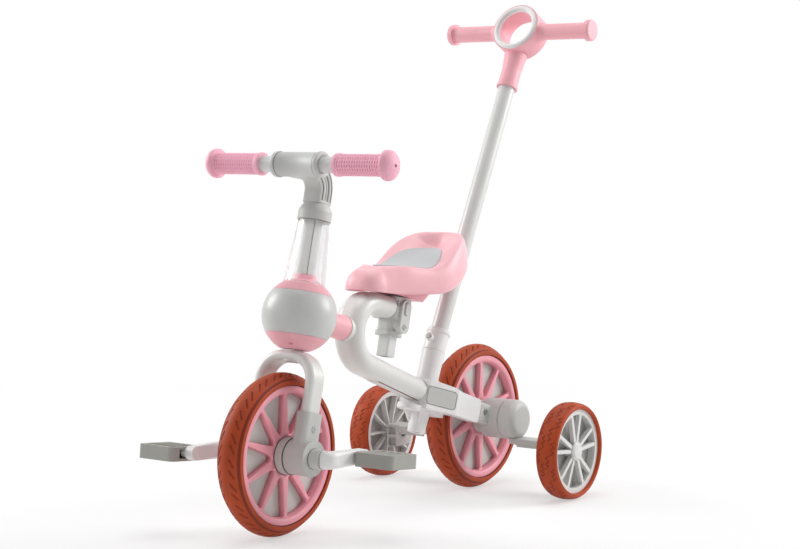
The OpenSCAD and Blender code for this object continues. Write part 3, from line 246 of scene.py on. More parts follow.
def soft_rubber(name, colour, groove_colour):
    """Soft grip rubber with a fine leathery grain, turning to the groove colour in the pattern: painted shade
    down in the grip's slits.
    """
    s = Surface(name)
    s.paint(s.in_groove(s.shade(colour, scale=30, amount=0.02), groove_colour))
    s.roughen(s.noise(scale=70), low=0.48, high=0.60)
    s.relief([(s.noise(scale=1500), 0.00005)], radius=0.0006)
    s.set(IOR=1.48, Sheen_Weight=0.1, Sheen_Roughness=0.4)
    return s.material


def brushed(name, colour):
    """Zinc-plated steel with turning marks."""
    s = Surface(name)
    stretch = s.add("ShaderNodeMapping")
    stretch.inputs["Scale"].default_value = (1, 0.05, 1)
    s.feed(s.place, stretch.inputs["Vector"])
    lines = s.noise(scale=1400, place=stretch.outputs["Vector"])
    s.paint(s.shade(colour, scale=60, amount=0.05))
    s.roughen(lines, low=0.24, high=0.42)
    s.relief([(lines, 0.00003)], radius=0.0003)
    s.set(Metallic=1.0)
    return s.material


def clear(name):
    """Clear moulded plastic tube."""
    s = Surface(name)
    s.paint(s.shade(CLEAR_TINT, scale=18, amount=0.01))
    s.roughen(s.noise(scale=50), low=0.03, high=0.07)
    s.relief([(s.noise(scale=26, detail=2), 0.00001)], radius=0.0005)
    s.set(Transmission_Weight=1.0, IOR=1.3, Alpha=0.4)
    return s.material


def dress(material, *nodes):
    """Give CAD nodes a material."""
    for name in nodes:
        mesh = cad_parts[name].data
        mesh.materials.clear()
        mesh.materials.append(material)


# Meshes

WELD = 2e-6


def piece(name, points, faces, material, body, stands_for=(), groove=None, weld=False):
    """A smooth mesh in the shared frame that rides on a body; weld joins points that coincide."""
    mesh = bpy.data.meshes.new(name)
    mesh.from_pydata([tuple(p) for p in points], [], faces)
    mesh.materials.append(material)
    mesh.polygons.foreach_set("use_smooth", [True] * len(mesh.polygons))
    if groove is not None:
        layer = mesh.attributes.new("groove", "FLOAT", "POINT")
        layer.data.foreach_set("value", np.asarray(groove, np.float32))
    mesh.validate()
    work = bmesh.new()
    work.from_mesh(mesh)
    if weld:
        bmesh.ops.remove_doubles(work, verts=work.verts, dist=WELD)
    bmesh.ops.recalc_face_normals(work, faces=work.faces)
    work.to_mesh(mesh)
    work.free()
    obj = bpy.data.objects.new(name, mesh)
    bpy.context.scene.collection.objects.link(obj)
    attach(obj, body)
    if stands_for:
        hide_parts(*stands_for)
    return obj


def grid_faces(rows, columns, wrap_rows=False, wrap_columns=True, start=0):
    """Quads over a grid of points kept row by row, the first of them numbered start."""
    faces = []
    for i in range(rows if wrap_rows else rows - 1):
        for j in range(columns if wrap_columns else columns - 1):
            k, m = (i + 1) % rows, (j + 1) % columns
            corners = (i * columns + j, k * columns + j, k * columns + m, i * columns + m)
            faces.append(tuple(start + c for c in corners))
    return faces


def end_faces(rows, columns):
    """Faces that close the first and the last row of a grid of points."""
    return [tuple(range(columns)), tuple((rows - 1) * columns + j for j in range(columns))]


def smooth01(v):
    """A soft step from 0 at 0 to 1 at 1."""
    u = np.clip(v, 0, 1)
    return (1 - np.cos(np.pi * u)) / 2


def ramp(x, start, end):
    """A soft step from 0 at start to 1 at end, which may be the lesser."""
    return smooth01((x - start) / (end - start))


def within(distance, half, steep=1.0):
    """1 well inside half, 0 well outside, a half on the edge."""
    return smooth01(0.5 + steep * (1 - distance / half))


def resample(outline, step):
    """Points every step or less along an outline of (radius, y)."""
    out = []
    for a, b in zip(outline, outline[1:]):
        n = max(1, math.ceil(math.dist(a, b) / step))
        out += [(a[0] + (b[0] - a[0]) * i / n, a[1] + (b[1] - a[1]) * i / n) for i in range(n)]
    return out + [outline[-1]]


def mirrored(outline):
    """The outline's other half, in the order that carries on from it."""
    return [(r, -y) for r, y in reversed(outline)]


def plain(r, y, a):
    """No relief, for turned."""
    return 0 * r, 0 * r


def turned(outline, count, centre, relief=plain):
    """An outline of (radius, y) turned about Y: its points, pushed in by relief, and the groove at each."""
    a = np.arange(count) * TAU / count
    rr, aa = np.meshgrid(np.array([p[0] for p in outline]), a)
    yy, _ = np.meshgrid(np.array([p[1] for p in outline]), a)
    depth, groove = relief(rr, yy, aa)
    rr = rr - depth
    points = np.stack([centre[0] + rr * np.sin(aa), centre[1] + yy, centre[2] + rr * np.cos(aa)], -1)
    return points.reshape(-1, 3), groove.reshape(-1)


def middle_and_halves(node):
    """Middle of a node's box, and half its size along Y and Z."""
    low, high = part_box(node)
    return (low + high) / 2, (high.y - low.y) / 2, (high.z - low.z) / 2


def tyre_inside(seat_r, seat_y, count):
    """Points across the inside of a tyre, from its right seat on the rim to its left one."""
    return [(seat_r, y) for y in np.linspace(-seat_y, seat_y, count + 2)[1:-1]]


def crown_arc(tyre_r, crown_r, shoulder, count):
    """The tread's rounded outline, from the left shoulder's angle to the right one's."""
    return [(tyre_r - crown_r + crown_r * math.cos(t), crown_r * math.sin(t))
            for t in np.linspace(shoulder, -shoulder, count)]


# Large tyres: a flat side band, a step, then a smooth crown with pairs of hooked slits on both shoulders

CROWN_H, TREAD_IN = 7.8 * MM, 4.2 * MM
# Side band and step, in mm out from the rim and in from the tyre's side
SIDE_BAND = ((0.1, 1.7), (0.3, 0.9), (0.9, 0.1), (1.5, 0), (6.0, 0), (6.5, 0.3), (6.8, 1.3), (7.1, 2.9),
             (7.6, 4.0), (8.1, 4.2))
SEAT_SHADE, STEP_SHADE = 0.8 * MM, (6.6 * MM, 8.2 * MM)
# Painted shade: how far the seat and step lines and the slits turn to the groove colour
SIDE_SHADE, SLIT_SHADE = 0.8, 0.5
SLIT_PAIRS = 21
SLIT_GAP = 14.5 * MM
SLIT_DEPTH = 1.7 * MM
SLIT_HALF = 1.25 * MM
SLIT_IN, SLIT_OUT = 5.5 * MM, 14.5 * MM
SLIT_FADE_IN, SLIT_FADE_OUT = 1.0 * MM, 1.5 * MM
SLIT_LONG = 11 * MM
TYRE_STEP, TYRE_ROUND, CROWN_POINTS, INSIDE_POINTS = 0.8 * MM, 900, 67, 7


def slit_mask(u, v, pitch, start):
    """1 inside a hooked slit whose tip is at v = start, 0 outside."""
    wide = SLIT_OUT - SLIT_IN
    p = np.clip((u - SLIT_IN) / wide, 0, 1)
    line = start + SLIT_LONG * smooth01(p)
    slope = SLIT_LONG / wide * np.pi / 2 * np.sin(np.pi * p)
    off = (v - line + pitch / 2) % pitch - pitch / 2
    across = within(np.abs(off) / np.sqrt(1 + slope ** 2), SLIT_HALF)
    return across * smooth01((u - SLIT_IN) / SLIT_FADE_IN) * smooth01((SLIT_OUT - u) / SLIT_FADE_OUT)


def large_tyre(node, body, spokes_node, material):
    centre, half, tyre_r = middle_and_halves(node)
    rim_r = middle_and_halves(spokes_node)[2]
    tread = half - TREAD_IN
    crown_r = (tread ** 2 + CROWN_H ** 2) / (2 * CROWN_H)
    side = [(rim_r + r * MM, half - y * MM) for r, y in SIDE_BAND]
    outline = resample(side, TYRE_STEP) + crown_arc(tyre_r, crown_r, math.asin(tread / crown_r), CROWN_POINTS)
    outline += resample(mirrored(side), TYRE_STEP) + tyre_inside(*side[0], INSIDE_POINTS)
    pitch = TAU * tyre_r / SLIT_PAIRS

    def relief(r, y, a):
        u = crown_r * np.arcsin(np.clip(np.abs(y) / crown_r, 0, 1))
        v = a * tyre_r + np.where(y > 0, 0, pitch / 2)
        out = r - rim_r
        mask = np.maximum(slit_mask(u, v, pitch, 0), slit_mask(u, v, pitch, SLIT_GAP)) * (out > STEP_SHADE[1])
        shaded = (out < SEAT_SHADE) | ((out > STEP_SHADE[0]) & (out < STEP_SHADE[1]))
        return SLIT_DEPTH * mask, np.maximum(SLIT_SHADE * mask, np.where(shaded, SIDE_SHADE, 0))

    points, groove = turned(outline, TYRE_ROUND, centre, relief)
    faces = grid_faces(TYRE_ROUND, len(outline), wrap_rows=True)
    return piece(node + "_rubber", points, faces, material, body, [node], groove)


# Small tyres: short zigzag grooves in four broken rows

SMALL_CROWN_R, SMALL_SHOULDER_IN, SMALL_TREAD_H = 48 * MM, 4 * MM, 4.2 * MM
# Bead and side, in mm out from the rim and in from the tyre's side
SMALL_SIDE = ((0.1, 1.5), (0.8, 0.3), (1.6, 0), (2.2, 0.8), (3.0, 0.8), (3.4, 0.1))
SMALL_EDGE_H, SMALL_EDGE_IN = 5.6 * MM, 0.1 * MM
SMALL_CORNER_R, SMALL_CORNER_Y, SMALL_CORNER_TURN = 2.6 * MM, 2.9 * MM, (0.2, 1.35)
ZIG_PERIOD = 8.5 * MM
ZIG_HEIGHT = 5.0 * MM
ZIG_HALF = 0.65 * MM
ZIG_DEPTH = 1.2 * MM
ZIG_ROWS = (4.4 * MM, 11.4 * MM)
# In periods: length of a zigzag, distance to the next, shift of the outer rows and of the left side
ZIG_RUN, ZIG_EVERY, ZIG_OUTER, ZIG_LEFT = 2.5, 5, 2.5, 1.5
# Painted shade down in the zigzag grooves
ZIG_SHADE = 0.5
SMALL_STEP, SMALL_ROUND = 1.2 * MM, 640
SMALL_CROWN_POINTS, SMALL_CORNER_POINTS, SMALL_INSIDE_POINTS = 37, 6, 5


def small_tyre(node, body, rim_node, material):
    centre, half, tyre_r = middle_and_halves(node)
    rim_r = middle_and_halves(rim_node)[2]
    edge_r, edge_y = tyre_r - SMALL_EDGE_H, half - SMALL_EDGE_IN
    side = [(rim_r + r * MM, half - y * MM) for r, y in SMALL_SIDE] + [(edge_r, edge_y)]
    corner = [(edge_r + SMALL_CORNER_R * math.sin(t), edge_y - SMALL_CORNER_Y * (1 - math.cos(t)))
              for t in np.linspace(*SMALL_CORNER_TURN, SMALL_CORNER_POINTS)]
    shoulder = math.asin((half - SMALL_SHOULDER_IN) / SMALL_CROWN_R)
    outline = resample(side, SMALL_STEP) + corner
    outline += crown_arc(tyre_r, SMALL_CROWN_R, shoulder, SMALL_CROWN_POINTS) + mirrored(corner)
    outline += resample(mirrored(side), SMALL_STEP) + tyre_inside(*side[0], SMALL_INSIDE_POINTS)
    girth = TAU * tyre_r
    period = girth / (round(girth / ZIG_PERIOD / ZIG_EVERY) * ZIG_EVERY)
    slope = 2 * ZIG_HEIGHT / period

    def relief(r, y, a):
        mask = np.zeros_like(a)
        for k, row in enumerate(ZIG_ROWS):
            for sign in (-1, 1):
                v = a * tyre_r + (k * ZIG_OUTER + (sign > 0) * ZIG_LEFT) * period
                tooth = v % period / period
                line = sign * row + ZIG_HEIGHT * (2 * np.abs(2 * tooth - 1) - 1) / 2
                across = within(np.abs(y - line) / math.sqrt(1 + slope ** 2), ZIG_HALF)
                mask = np.maximum(mask, across * (v % (ZIG_EVERY * period) / period < ZIG_RUN))
        mask = mask * (r > tyre_r - SMALL_TREAD_H)
        return ZIG_DEPTH * mask, ZIG_SHADE * mask

    points, groove = turned(outline, SMALL_ROUND, centre, relief)
    faces = grid_faces(SMALL_ROUND, len(outline), wrap_rows=True)
    return piece(node + "_rubber", points, faces, material, body, [node], groove)


# Spoked covers: flared spokes, three-cornered windows and a rolled rim (mm, wheel's middle at 0)

SPOKES = 10
BORE_R, PLATE_R = 25.1, 85.4
WINDOW_TIP, WINDOW_OUT, WINDOW_MID = 22.0, 82.5, 64.0
TIP_ROUND, CORNER_ROUND = 8.5, 4.0
SPOKE_END = 5.0
PLATE_LOW, PLATE_TOP = 5.1, 14.0
# Rounded edge of a window, as distance from its outline and drop from the plate's top
WINDOW_EDGE = ((1.0, 0), (0.4, 0.12), (0.05, 0.5), (-0.1, 1.1))
WINDOW_DRAFT = -0.7
RIM_EDGE = ((83, 13), (85.3, 13), (85.3, 14.1), (93.4, 14.1), (93.5, 16.6), (93.1, 17.5), (92.3, 18),
            (91, 18.2), (87.6, 18.2), (86, 17.9), (84.2, 16.6), (83.2, 15.2))
WINDOW_RAYS, RIM_ROUND = 80, 180
RAY_LONG, HALVINGS = 60.0, 40
TINY, FAR, ARC_SLACK = 1e-9, 1e9, 1e-6


def window_level(x, y):
    """Distance from the outline of a window whose middle line is x, less than 0 inside."""
    corner = math.pi / SPOKES - math.asin(SPOKE_END / 2 / WINDOW_OUT)
    slope = math.atan2(WINDOW_OUT * math.sin(corner), WINDOW_OUT * math.cos(corner) - WINDOW_TIP)
    lean = -(x - WINDOW_TIP) * math.sin(slope)
    walls = np.array([lean + y * math.cos(slope), lean - y * math.cos(slope), np.hypot(x, y) - WINDOW_OUT])
    rounding = np.where(x < WINDOW_MID, TIP_ROUND, CORNER_ROUND)
    walls = walls + rounding
    return np.sqrt((np.maximum(walls, 0) ** 2).sum(0)) + np.minimum(walls.max(0), 0) - rounding


def window_ring(level, turns):
    """Points where rays from the window's middle reach a level of window_level."""
    near, far = np.zeros_like(turns), np.full_like(turns, RAY_LONG)
    for _ in range(HALVINGS):
        t = (near + far) / 2
        inside = window_level(WINDOW_MID + t * np.cos(turns), t * np.sin(turns)) < level
        near, far = np.where(inside, t, near), np.where(inside, far, t)
    return WINDOW_MID + near * np.cos(turns), near * np.sin(turns)


def sector_ring(turns):
    """Points where the same rays leave the sector between two spokes' middles, and which are on an arc."""
    half = math.pi / SPOKES
    c, s = np.cos(turns), np.sin(turns)
    toward = np.abs(s) * math.cos(half) - c * math.sin(half)
    side = np.where(toward > 0, WINDOW_MID * math.sin(half) / np.maximum(TINY, toward), FAR)
    root = (WINDOW_MID * c) ** 2 - WINDOW_MID ** 2
    rim = -WINDOW_MID * c + np.sqrt(root + PLATE_R ** 2)
    hits_bore = (c < 0) & (root + BORE_R ** 2 > 0)
    bore = np.where(hits_bore, -WINDOW_MID * c - np.sqrt(np.maximum(0, root + BORE_R ** 2)), FAR)
    t = np.minimum(np.minimum(side, rim), bore)
    return WINDOW_MID + t * c, t * s, np.minimum(rim, bore) < side + ARC_SLACK


def spoked_cover(node, body, material):
    middle = middle_and_halves(node)[0]
    flip = 1 if middle.y > 0 else -1
    half = math.pi / SPOKES
    evenly = np.linspace(-math.pi, math.pi, WINDOW_RAYS, endpoint=False)
    corners = [math.atan2(r * math.sin(half), r * math.cos(half) - WINDOW_MID) for r in (BORE_R, PLATE_R)]
    turns = np.sort(np.concatenate([evenly, corners, [-a for a in corners]]))
    edge_x, edge_y, on_arc = sector_ring(turns)
    rings = [(edge_x, edge_y, PLATE_TOP)]
    rings += [(*window_ring(level, turns), PLATE_TOP - drop) for level, drop in WINDOW_EDGE]
    rings += [(*window_ring(WINDOW_DRAFT, turns), PLATE_LOW), (edge_x, edge_y, PLATE_LOW)]
    n = len(turns)
    last = (len(rings) - 1) * n
    walls = [(j, (j + 1) % n, last + (j + 1) % n, last + j)
             for j in range(n) if on_arc[j] and on_arc[(j + 1) % n]]
    points, faces = [], []
    for k in range(SPOKES):
        start = len(points)
        for x, y, height in rings:
            r, a = np.hypot(x, y), np.arctan2(y, x) + (2 * k + 1) * half
            points += list(zip(r * np.sin(a), np.full(n, height), r * np.cos(a)))
        faces += grid_faces(len(rings), n, start=start)
        faces += [tuple(start + corner for corner in wall) for wall in walls]
    rim, _ = turned(RIM_EDGE, RIM_ROUND, (0, 0, 0))
    faces += grid_faces(RIM_ROUND, len(RIM_EDGE), wrap_rows=True, start=len(points))
    points = np.concatenate([np.array(points), rim]) * MM * np.array([1, flip, 1])
    hub = np.array([middle.x, 0, middle.z])
    return piece(node + "_moulding", points + hub, faces, material, body, [node], weld=True)


# Stem: a square neck that bends forward and flares out under the clamp's barrel (mm along the steering axis)

STEER_TILT = math.radians(14)
NECK_T, BAR_T, BAR_AHEAD = 342.7, 386.3, 48.6
NECK_HALF, NECK_BEND, NECK_SQUARE = 15.8, 28.0, 4.6
FLARE_START, FLARE_END, FLARE_R, FLARE_LIMIT = 42.0, 66.0, 21.0, 0.97
SLOT_PLACES, SLOT_HALF, SLOT_SOFT, SLOT_DEEP = (-8.9, -2.9, 3.1, 9.1), 1.0, 0.7, 1.8
# Where the slots start, the share of the bend they reach, how they fade, and how flat a side they need
SLOT_FOOT, SLOT_BEND, SLOT_FADE, SLOT_FLAT = 3.0, 0.9, 1.5, 0.9
BARREL = ((11.1, 39.9), (15.9, 39.9), (17.3, 39.4), (17.75, 38.6), (17.75, 34), (17.4, 33.2),
          (16.75, 32.6), (16.75, 0))
NECK_POINTS, NECK_ROUND, BARREL_ROUND = 112, 240, 96


def steer_frame():
    """Front axle in mm, and the directions up and ahead of the steering axis."""
    up = np.array([-math.sin(STEER_TILT), 0, math.cos(STEER_TILT)])
    ahead = np.array([math.cos(STEER_TILT), 0, math.sin(STEER_TILT)])
    return np.array(middle_and_halves("front_core")[0]) / MM, up, ahead


def stem(material):
    foot, up, ahead = steer_frame()
    rise, turn = BAR_T - NECK_BEND - NECK_T, NECK_BEND * math.pi / 2
    path = np.linspace(0, rise + turn + BAR_AHEAD - NECK_BEND, NECK_POINTS)
    bend = np.clip((path - rise) / turn, 0, 1) * math.pi / 2
    t = NECK_T + np.minimum(path, rise) + NECK_BEND * np.sin(bend)
    x = NECK_BEND * (1 - np.cos(bend)) + np.maximum(0, path - rise - turn)
    flare = np.clip((path - FLARE_START) / (FLARE_END - FLARE_START), 0, FLARE_LIMIT)
    wide = NECK_HALF + FLARE_R * (1 - np.sqrt(1 - flare ** 2))
    a = np.linspace(0, TAU, NECK_ROUND, endpoint=False)
    out = NECK_HALF * np.sign(np.cos(a)) * np.abs(np.cos(a)) ** (2 / NECK_SQUARE)
    side = np.sign(np.sin(a)) * np.abs(np.sin(a)) ** (2 / NECK_SQUARE)
    apart = np.min([np.abs(out - place) for place in SLOT_PLACES], axis=0)
    slots = smooth01((SLOT_HALF + SLOT_SOFT / 2 - apart) / SLOT_SOFT)
    length = smooth01((path - SLOT_FOOT) / SLOT_FADE) * smooth01((rise + turn * SLOT_BEND - path) / SLOT_FADE)
    groove = np.outer(length, slots * (np.abs(side) > SLOT_FLAT))
    y = side * wide[:, None] - np.sign(side) * SLOT_DEEP * groove
    px = x[:, None] - np.cos(bend)[:, None] * out
    pt = t[:, None] + np.sin(bend)[:, None] * out
    neck = foot + px[..., None] * ahead + pt[..., None] * up + y[..., None] * np.array(Y_AXIS)
    neck = neck.reshape(-1, 3)
    outline = list(BARREL) + mirrored(BARREL[:-1])
    barrel, plain_groove = turned(outline, BARREL_ROUND, foot + BAR_AHEAD * ahead + BAR_T * up)
    faces = grid_faces(NECK_POINTS, NECK_ROUND) + end_faces(NECK_POINTS, NECK_ROUND)
    faces += grid_faces(BARREL_ROUND, len(outline), wrap_rows=True, start=len(neck))
    points = np.concatenate([neck, barrel]) * MM
    depth = np.concatenate([groove.reshape(-1), plain_groove])
    piece("stem_casting", points, faces, material, "steering", ["stem"], depth)


# Grips: a field of short slits between a plain inner ring and a domed knob with a hole

GRIP_R, GRIP_BORE_R = 14.75 * MM, 11.2 * MM
# Inner ring, in mm out from the grip's radius and along from its inner end
GRIP_RING = ((0.2, 0.1), (1.0, 0.9), (1.0, 6.0), (0.1, 7.0))
KNOB_LONG, KNOB_FLARE, DOME_LONG, DOME_TURN = 17 * MM, 2.5 * MM, 12 * MM, 1.49
HOLE_R, HOLE_FOOT_R, HOLE_MIDDLE_R, HOLE_DEEP = 2.0 * MM, 1.9 * MM, 0.01 * MM, 3 * MM
# Distances from the ring and to the knob: of the plain body, and of the field of slits
BODY_START, BODY_END = 0.5 * MM, 0.2 * MM
FIELD_START, FIELD_END = 1.5 * MM, 0.6 * MM
DASH_COLUMNS = 17
DASH_ROWS = 17
DASH_HALF_Y, DASH_STEEP_Y = 0.85 * MM, 1.1
DASH_HALF_ROUND, DASH_STEEP_ROUND = 1.9 * MM, 1.7
DASH_LEAN = 0.5 * MM
DASH_DEPTH = 0.6 * MM
BODY_SLACK = 0.05 * MM
RING_STEP, BODY_STEP, GRIP_ROUND = 0.9 * MM, 0.45 * MM, 190
KNOB_FLARE_FROM, KNOB_FLARE_POINTS, DOME_POINTS = 0.1, 7, 22


def grip(node, side, material):
    low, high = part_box(node)
    axis = middle_and_halves("handlebar")[0]
    inner, outer = (low.y, high.y) if side > 0 else (-high.y, -low.y)
    knob_r = (high.z - low.z) / 2
    ring = [(GRIP_BORE_R, inner)] + [(GRIP_R + r * MM, inner + y * MM) for r, y in GRIP_RING]
    ring_end = ring[-1][1]
    knob = outer - KNOB_LONG
    outline = resample(ring, RING_STEP)
    outline += resample([(GRIP_R, ring_end + BODY_START), (GRIP_R, knob - BODY_END)], BODY_STEP)
    outline += [(GRIP_R + (knob_r - GRIP_R) * smooth01(t), knob + KNOB_FLARE * t)
                for t in np.linspace(KNOB_FLARE_FROM, 1, KNOB_FLARE_POINTS)]
    outline += [(knob_r * math.cos(t), outer - DOME_LONG + DOME_LONG * math.sin(t))
                for t in np.linspace(0, DOME_TURN, DOME_POINTS)]
    outline += [(HOLE_R, outer), (HOLE_FOOT_R, outer - HOLE_DEEP), (HOLE_MIDDLE_R, outer - HOLE_DEEP)]
    first, last = ring_end + FIELD_START, knob - FIELD_END
    pitch = (last - first) / DASH_COLUMNS

    def relief(r, y, a):
        off_y = ((y - first) / pitch % 1 - 0.5) * pitch
        off_a = (a * DASH_ROWS / TAU % 1 - 0.5) * TAU * GRIP_R / DASH_ROWS + DASH_LEAN * off_y / DASH_HALF_Y
        mask = within(np.abs(off_y), DASH_HALF_Y, DASH_STEEP_Y)
        mask = mask * within(np.abs(off_a), DASH_HALF_ROUND, DASH_STEEP_ROUND)
        mask = mask * (y > first) * (y < last) * (r < GRIP_R + BODY_SLACK)
        # The slits' mask also paints their shade
        return DASH_DEPTH * mask, mask

    points, groove = turned(outline, GRIP_ROUND, (axis.x, 0, axis.z), relief)
    points[:, 1] *= side
    faces = grid_faces(GRIP_ROUND, len(outline), wrap_rows=True, wrap_columns=False)
    if side < 0:
        faces = [f[::-1] for f in faces]
    return piece(node + "_rubber", points, faces, material, "steering", [node], groove)


# Saddle: a skin on rays from a spine to the plan outline, with skirt, roll and dish (mm, rear axle at x = 0)

NOSE_X, TAIL_X = 302.0, 66.0
CAD_MID_X = 190.5
SADDLE_HALF, NOSE_HALF = 67.0, 34.5
WIDE_X, TAPER_X, NOSE_MID, WIDE_END = 154.0, 184.0, 256.0, 276.0
TAPER, NOSE_BLUNT = 0.318, 2.8
SPINE_BACK, SPINE_FRONT = 104.0, 262.0
RIM_Z, BACK_Z, LOW_Z, SPINE_Z = 352.0, 394.0, 310.0, 346.0
WALL = 2.5
# Heights and the x from and to which they grow
BACK_RISE_X = (192.0, 82.0)
NOSE_DROOP, NOSE_DROOP_X = 4.0, (265.0, 305.0)
RIM_DIP, RIM_DIP_X, RIM_DIP_HALF = 5.0, 188.0, 55.0
SPINE_RISE, SPINE_RISE_X = 6.0, (205.0, 260.0)
SPINE_BACK_RISE, SPINE_BACK_RISE_X = 25.0, (205.0, 95.0)
# Skirt: x of its lowest point, then rise and length ahead of it and behind it
SKIRT_X, SKIRT_AHEAD, SKIRT_BEHIND = 190.0, (13.0, 125.0), (33.0, 120.0)
# Roll: width in the middle, what the tail and the nose add, and the most it takes of a ray
ROLL, ROLL_TAIL, ROLL_TAIL_X = 9.0, 9.0, (125.0, 66.0)
ROLL_NOSE, ROLL_NOSE_X, ROLL_MOST = 15.0, (225.0, 275.0), 0.75
# Share of the height at which the skin is widest, how far the skirt tucks in below, and how it starts
NOSE_BLEND_X = (225.0, 280.0)
WIDEST, WIDEST_NOSE = 0.32, 0.28
TUCK, TUCK_BACK, TUCK_BACK_X, TUCK_START = 6.0, 8.0, (194.0, 94.0), 0.4
DISH_FLAT, LEAST_REACH = 0.1, 0.5
OUTLINE_POINTS, SKIRT_ROWS, ROLL_ROWS, DISH_ROWS = 96, 12, 18, 34
PAD_FRONT, PAD_BACK, PAD_SHORT = 262.0, 105.0, 1.0
PAD_HALF, PAD_SKEW, PAD_BLUNT, PAD_POINT = 47.0, 0.90, 0.95, 0.2
PAD_EDGE, PAD_LIFT, PAD_THICK, PAD_ENDS, PAD_SINK = 2.2, 0.3, 1.5, 40, 0.2
PAD_ROWS, PAD_COLUMNS, PAD_RAY_Z = 70, 41, 500


def plan_half(x):
    """Half width of the plan: an elliptical back, a straight taper and a blunt nose."""
    back = SADDLE_HALF * np.sqrt(np.maximum(0, 1 - ((WIDE_X - x) / (WIDE_X - TAIL_X)) ** 2))
    ease = TAPER_X - WIDE_X
    bend = SADDLE_HALF - TAPER * (x - WIDE_X) ** 2 / (2 * ease)
    taper = SADDLE_HALF - TAPER * (x - WIDE_X - ease / 2)
    share = np.clip((x - NOSE_MID) / (NOSE_X - NOSE_MID), 0, 1)
    nose = NOSE_HALF * (1 - share ** NOSE_BLUNT) ** (1 / NOSE_BLUNT)
    return np.where(x < WIDE_X, back, np.where(x < TAPER_X, bend, np.where(x < WIDE_END, taper, nose)))


def rim_z(x):
    """Height of the top of the roll."""
    dip = RIM_DIP * smooth01(1 - np.abs(x - RIM_DIP_X) / RIM_DIP_HALF)
    return RIM_Z + (BACK_Z - RIM_Z) * ramp(x, *BACK_RISE_X) - NOSE_DROOP * ramp(x, *NOSE_DROOP_X) - dip


def skirt_z(x):
    """Height of the lower edge."""
    rise, length = np.where((x > SKIRT_X)[:, None], SKIRT_AHEAD, SKIRT_BEHIND).T
    return LOW_Z + rise * ((x - SKIRT_X) / length) ** 2


def spine_z(x):
    """Height of the bottom of the dish."""
    return SPINE_Z + SPINE_RISE * ramp(x, *SPINE_RISE_X) + SPINE_BACK_RISE * ramp(x, *SPINE_BACK_RISE_X)


def saddle_skin():
    """Points and faces of the outer skin, in mm, closed except under the skirt."""
    x = (NOSE_X + TAIL_X) / 2 + (NOSE_X - TAIL_X) / 2 * np.cos(np.linspace(0, np.pi, OUTLINE_POINTS))
    y = plan_half(x)
    x, y = np.concatenate([x, x[-2:0:-1]]), np.concatenate([y, -y[-2:0:-1]])
    spine = np.clip(x, SPINE_BACK, SPINE_FRONT)
    reach = np.maximum(LEAST_REACH, np.hypot(x - spine, y))
    inset = ROLL + ROLL_TAIL * ramp(x, *ROLL_TAIL_X) + ROLL_NOSE * ramp(x, *ROLL_NOSE_X)
    inset = np.minimum(inset, ROLL_MOST * reach)
    nose = ramp(x, *NOSE_BLEND_X)
    tuck = TUCK * (1 - nose) + TUCK_BACK * ramp(x, *TUCK_BACK_X)
    low, rim, dish = skirt_z(x), rim_z(x), spine_z(spine)
    widest = low + (WIDEST - WIDEST_NOSE * nose) * (rim - low)
    hold = low + TUCK_START * (widest - low)
    rows = []
    for t in np.linspace(0, 1, SKIRT_ROWS, endpoint=False):
        rows.append(((1 - t) ** 2 * reach ** 2 / (reach + tuck) + t * (2 - t) * reach,
                     (1 - t) ** 2 * low + 2 * t * (1 - t) * hold + t ** 2 * widest))
    for t in np.linspace(0, np.pi / 2, ROLL_ROWS, endpoint=False):
        rows.append((reach - inset * (1 - math.cos(t)), widest + (rim - widest) * math.sin(t)))
    for k in np.linspace(1, 0, DISH_ROWS):
        rows.append((k * (reach - inset), rim - (rim - dish) * (1 - ramp(k, DISH_FLAT, 1))))
    points = np.array([np.stack([spine + (x - spine) * d / reach, y * d / reach, z], -1) for d, z in rows])
    return points.reshape(-1, 3), grid_faces(len(rows), len(x))


def saddle_shell(points, faces, material):
    """The skin with its wall, which lies inside it."""
    shell = piece("saddle_shell", points * MM, faces, material, "seat", ["saddle"],
                  weld=True)
    if sum(p.normal.z * p.area for p in shell.data.polygons) < 0:
        shell.data.flip_normals()
    wall = shell.modifiers.new("wall", "SOLIDIFY")
    wall.thickness, wall.offset = WALL * MM, -1


def saddle_pad(points, faces, shift, material):
    """A leaf-shaped pad that lies on the skin, with a rounded edge."""
    skin = BVHTree.FromPolygons([tuple(p) for p in points], faces)
    down = Vector((0, 0, -1))
    swing = np.cos(np.linspace(0, np.pi, PAD_ROWS))
    k = np.sin(np.linspace(-np.pi / 2, np.pi / 2, PAD_COLUMNS))
    rows = []
    for x in (PAD_FRONT + PAD_BACK) / 2 + (PAD_FRONT - PAD_BACK - PAD_SHORT) / 2 * swing:
        share = (x - PAD_BACK) / (PAD_FRONT - PAD_BACK)
        half = PAD_HALF * math.sin(math.pi * share ** PAD_SKEW) ** (PAD_BLUNT + PAD_POINT * share)
        under = np.array([skin.ray_cast(Vector((x, v * half, PAD_RAY_Z)), down)[0].z for v in k])
        edge = min(PAD_EDGE, half)
        rounded = np.sqrt(1 - np.clip((np.abs(k) * half - (half - edge)) / edge, 0, 1) ** 2)
        top = under + PAD_LIFT + PAD_THICK * rounded * min(1, min(share, 1 - share) * PAD_ENDS)
        rows.append(np.concatenate([np.stack([np.full_like(k, x), k * half, top], -1),
                                    np.stack([np.full_like(k, x), -k * half, under[::-1] - PAD_SINK], -1)]))
    rings = np.array(rows)
    pad_faces = grid_faces(*rings.shape[:2]) + end_faces(*rings.shape[:2])
    pad_points = (rings.reshape(-1, 3) + shift) * MM
    pad = piece("saddle_leaf_pad", pad_points, pad_faces, material, "seat", ["saddle_pad"])


def saddle(material, pad_material):
    shift = np.array([middle_and_halves("saddle")[0].x / MM - CAD_MID_X, 0, 0])
    points, faces = saddle_skin()
    saddle_shell(points + shift, faces, material)
    saddle_pad(points, faces, shift, pad_material)


# Ribbed trim under the lower run of the frame tube (mm)

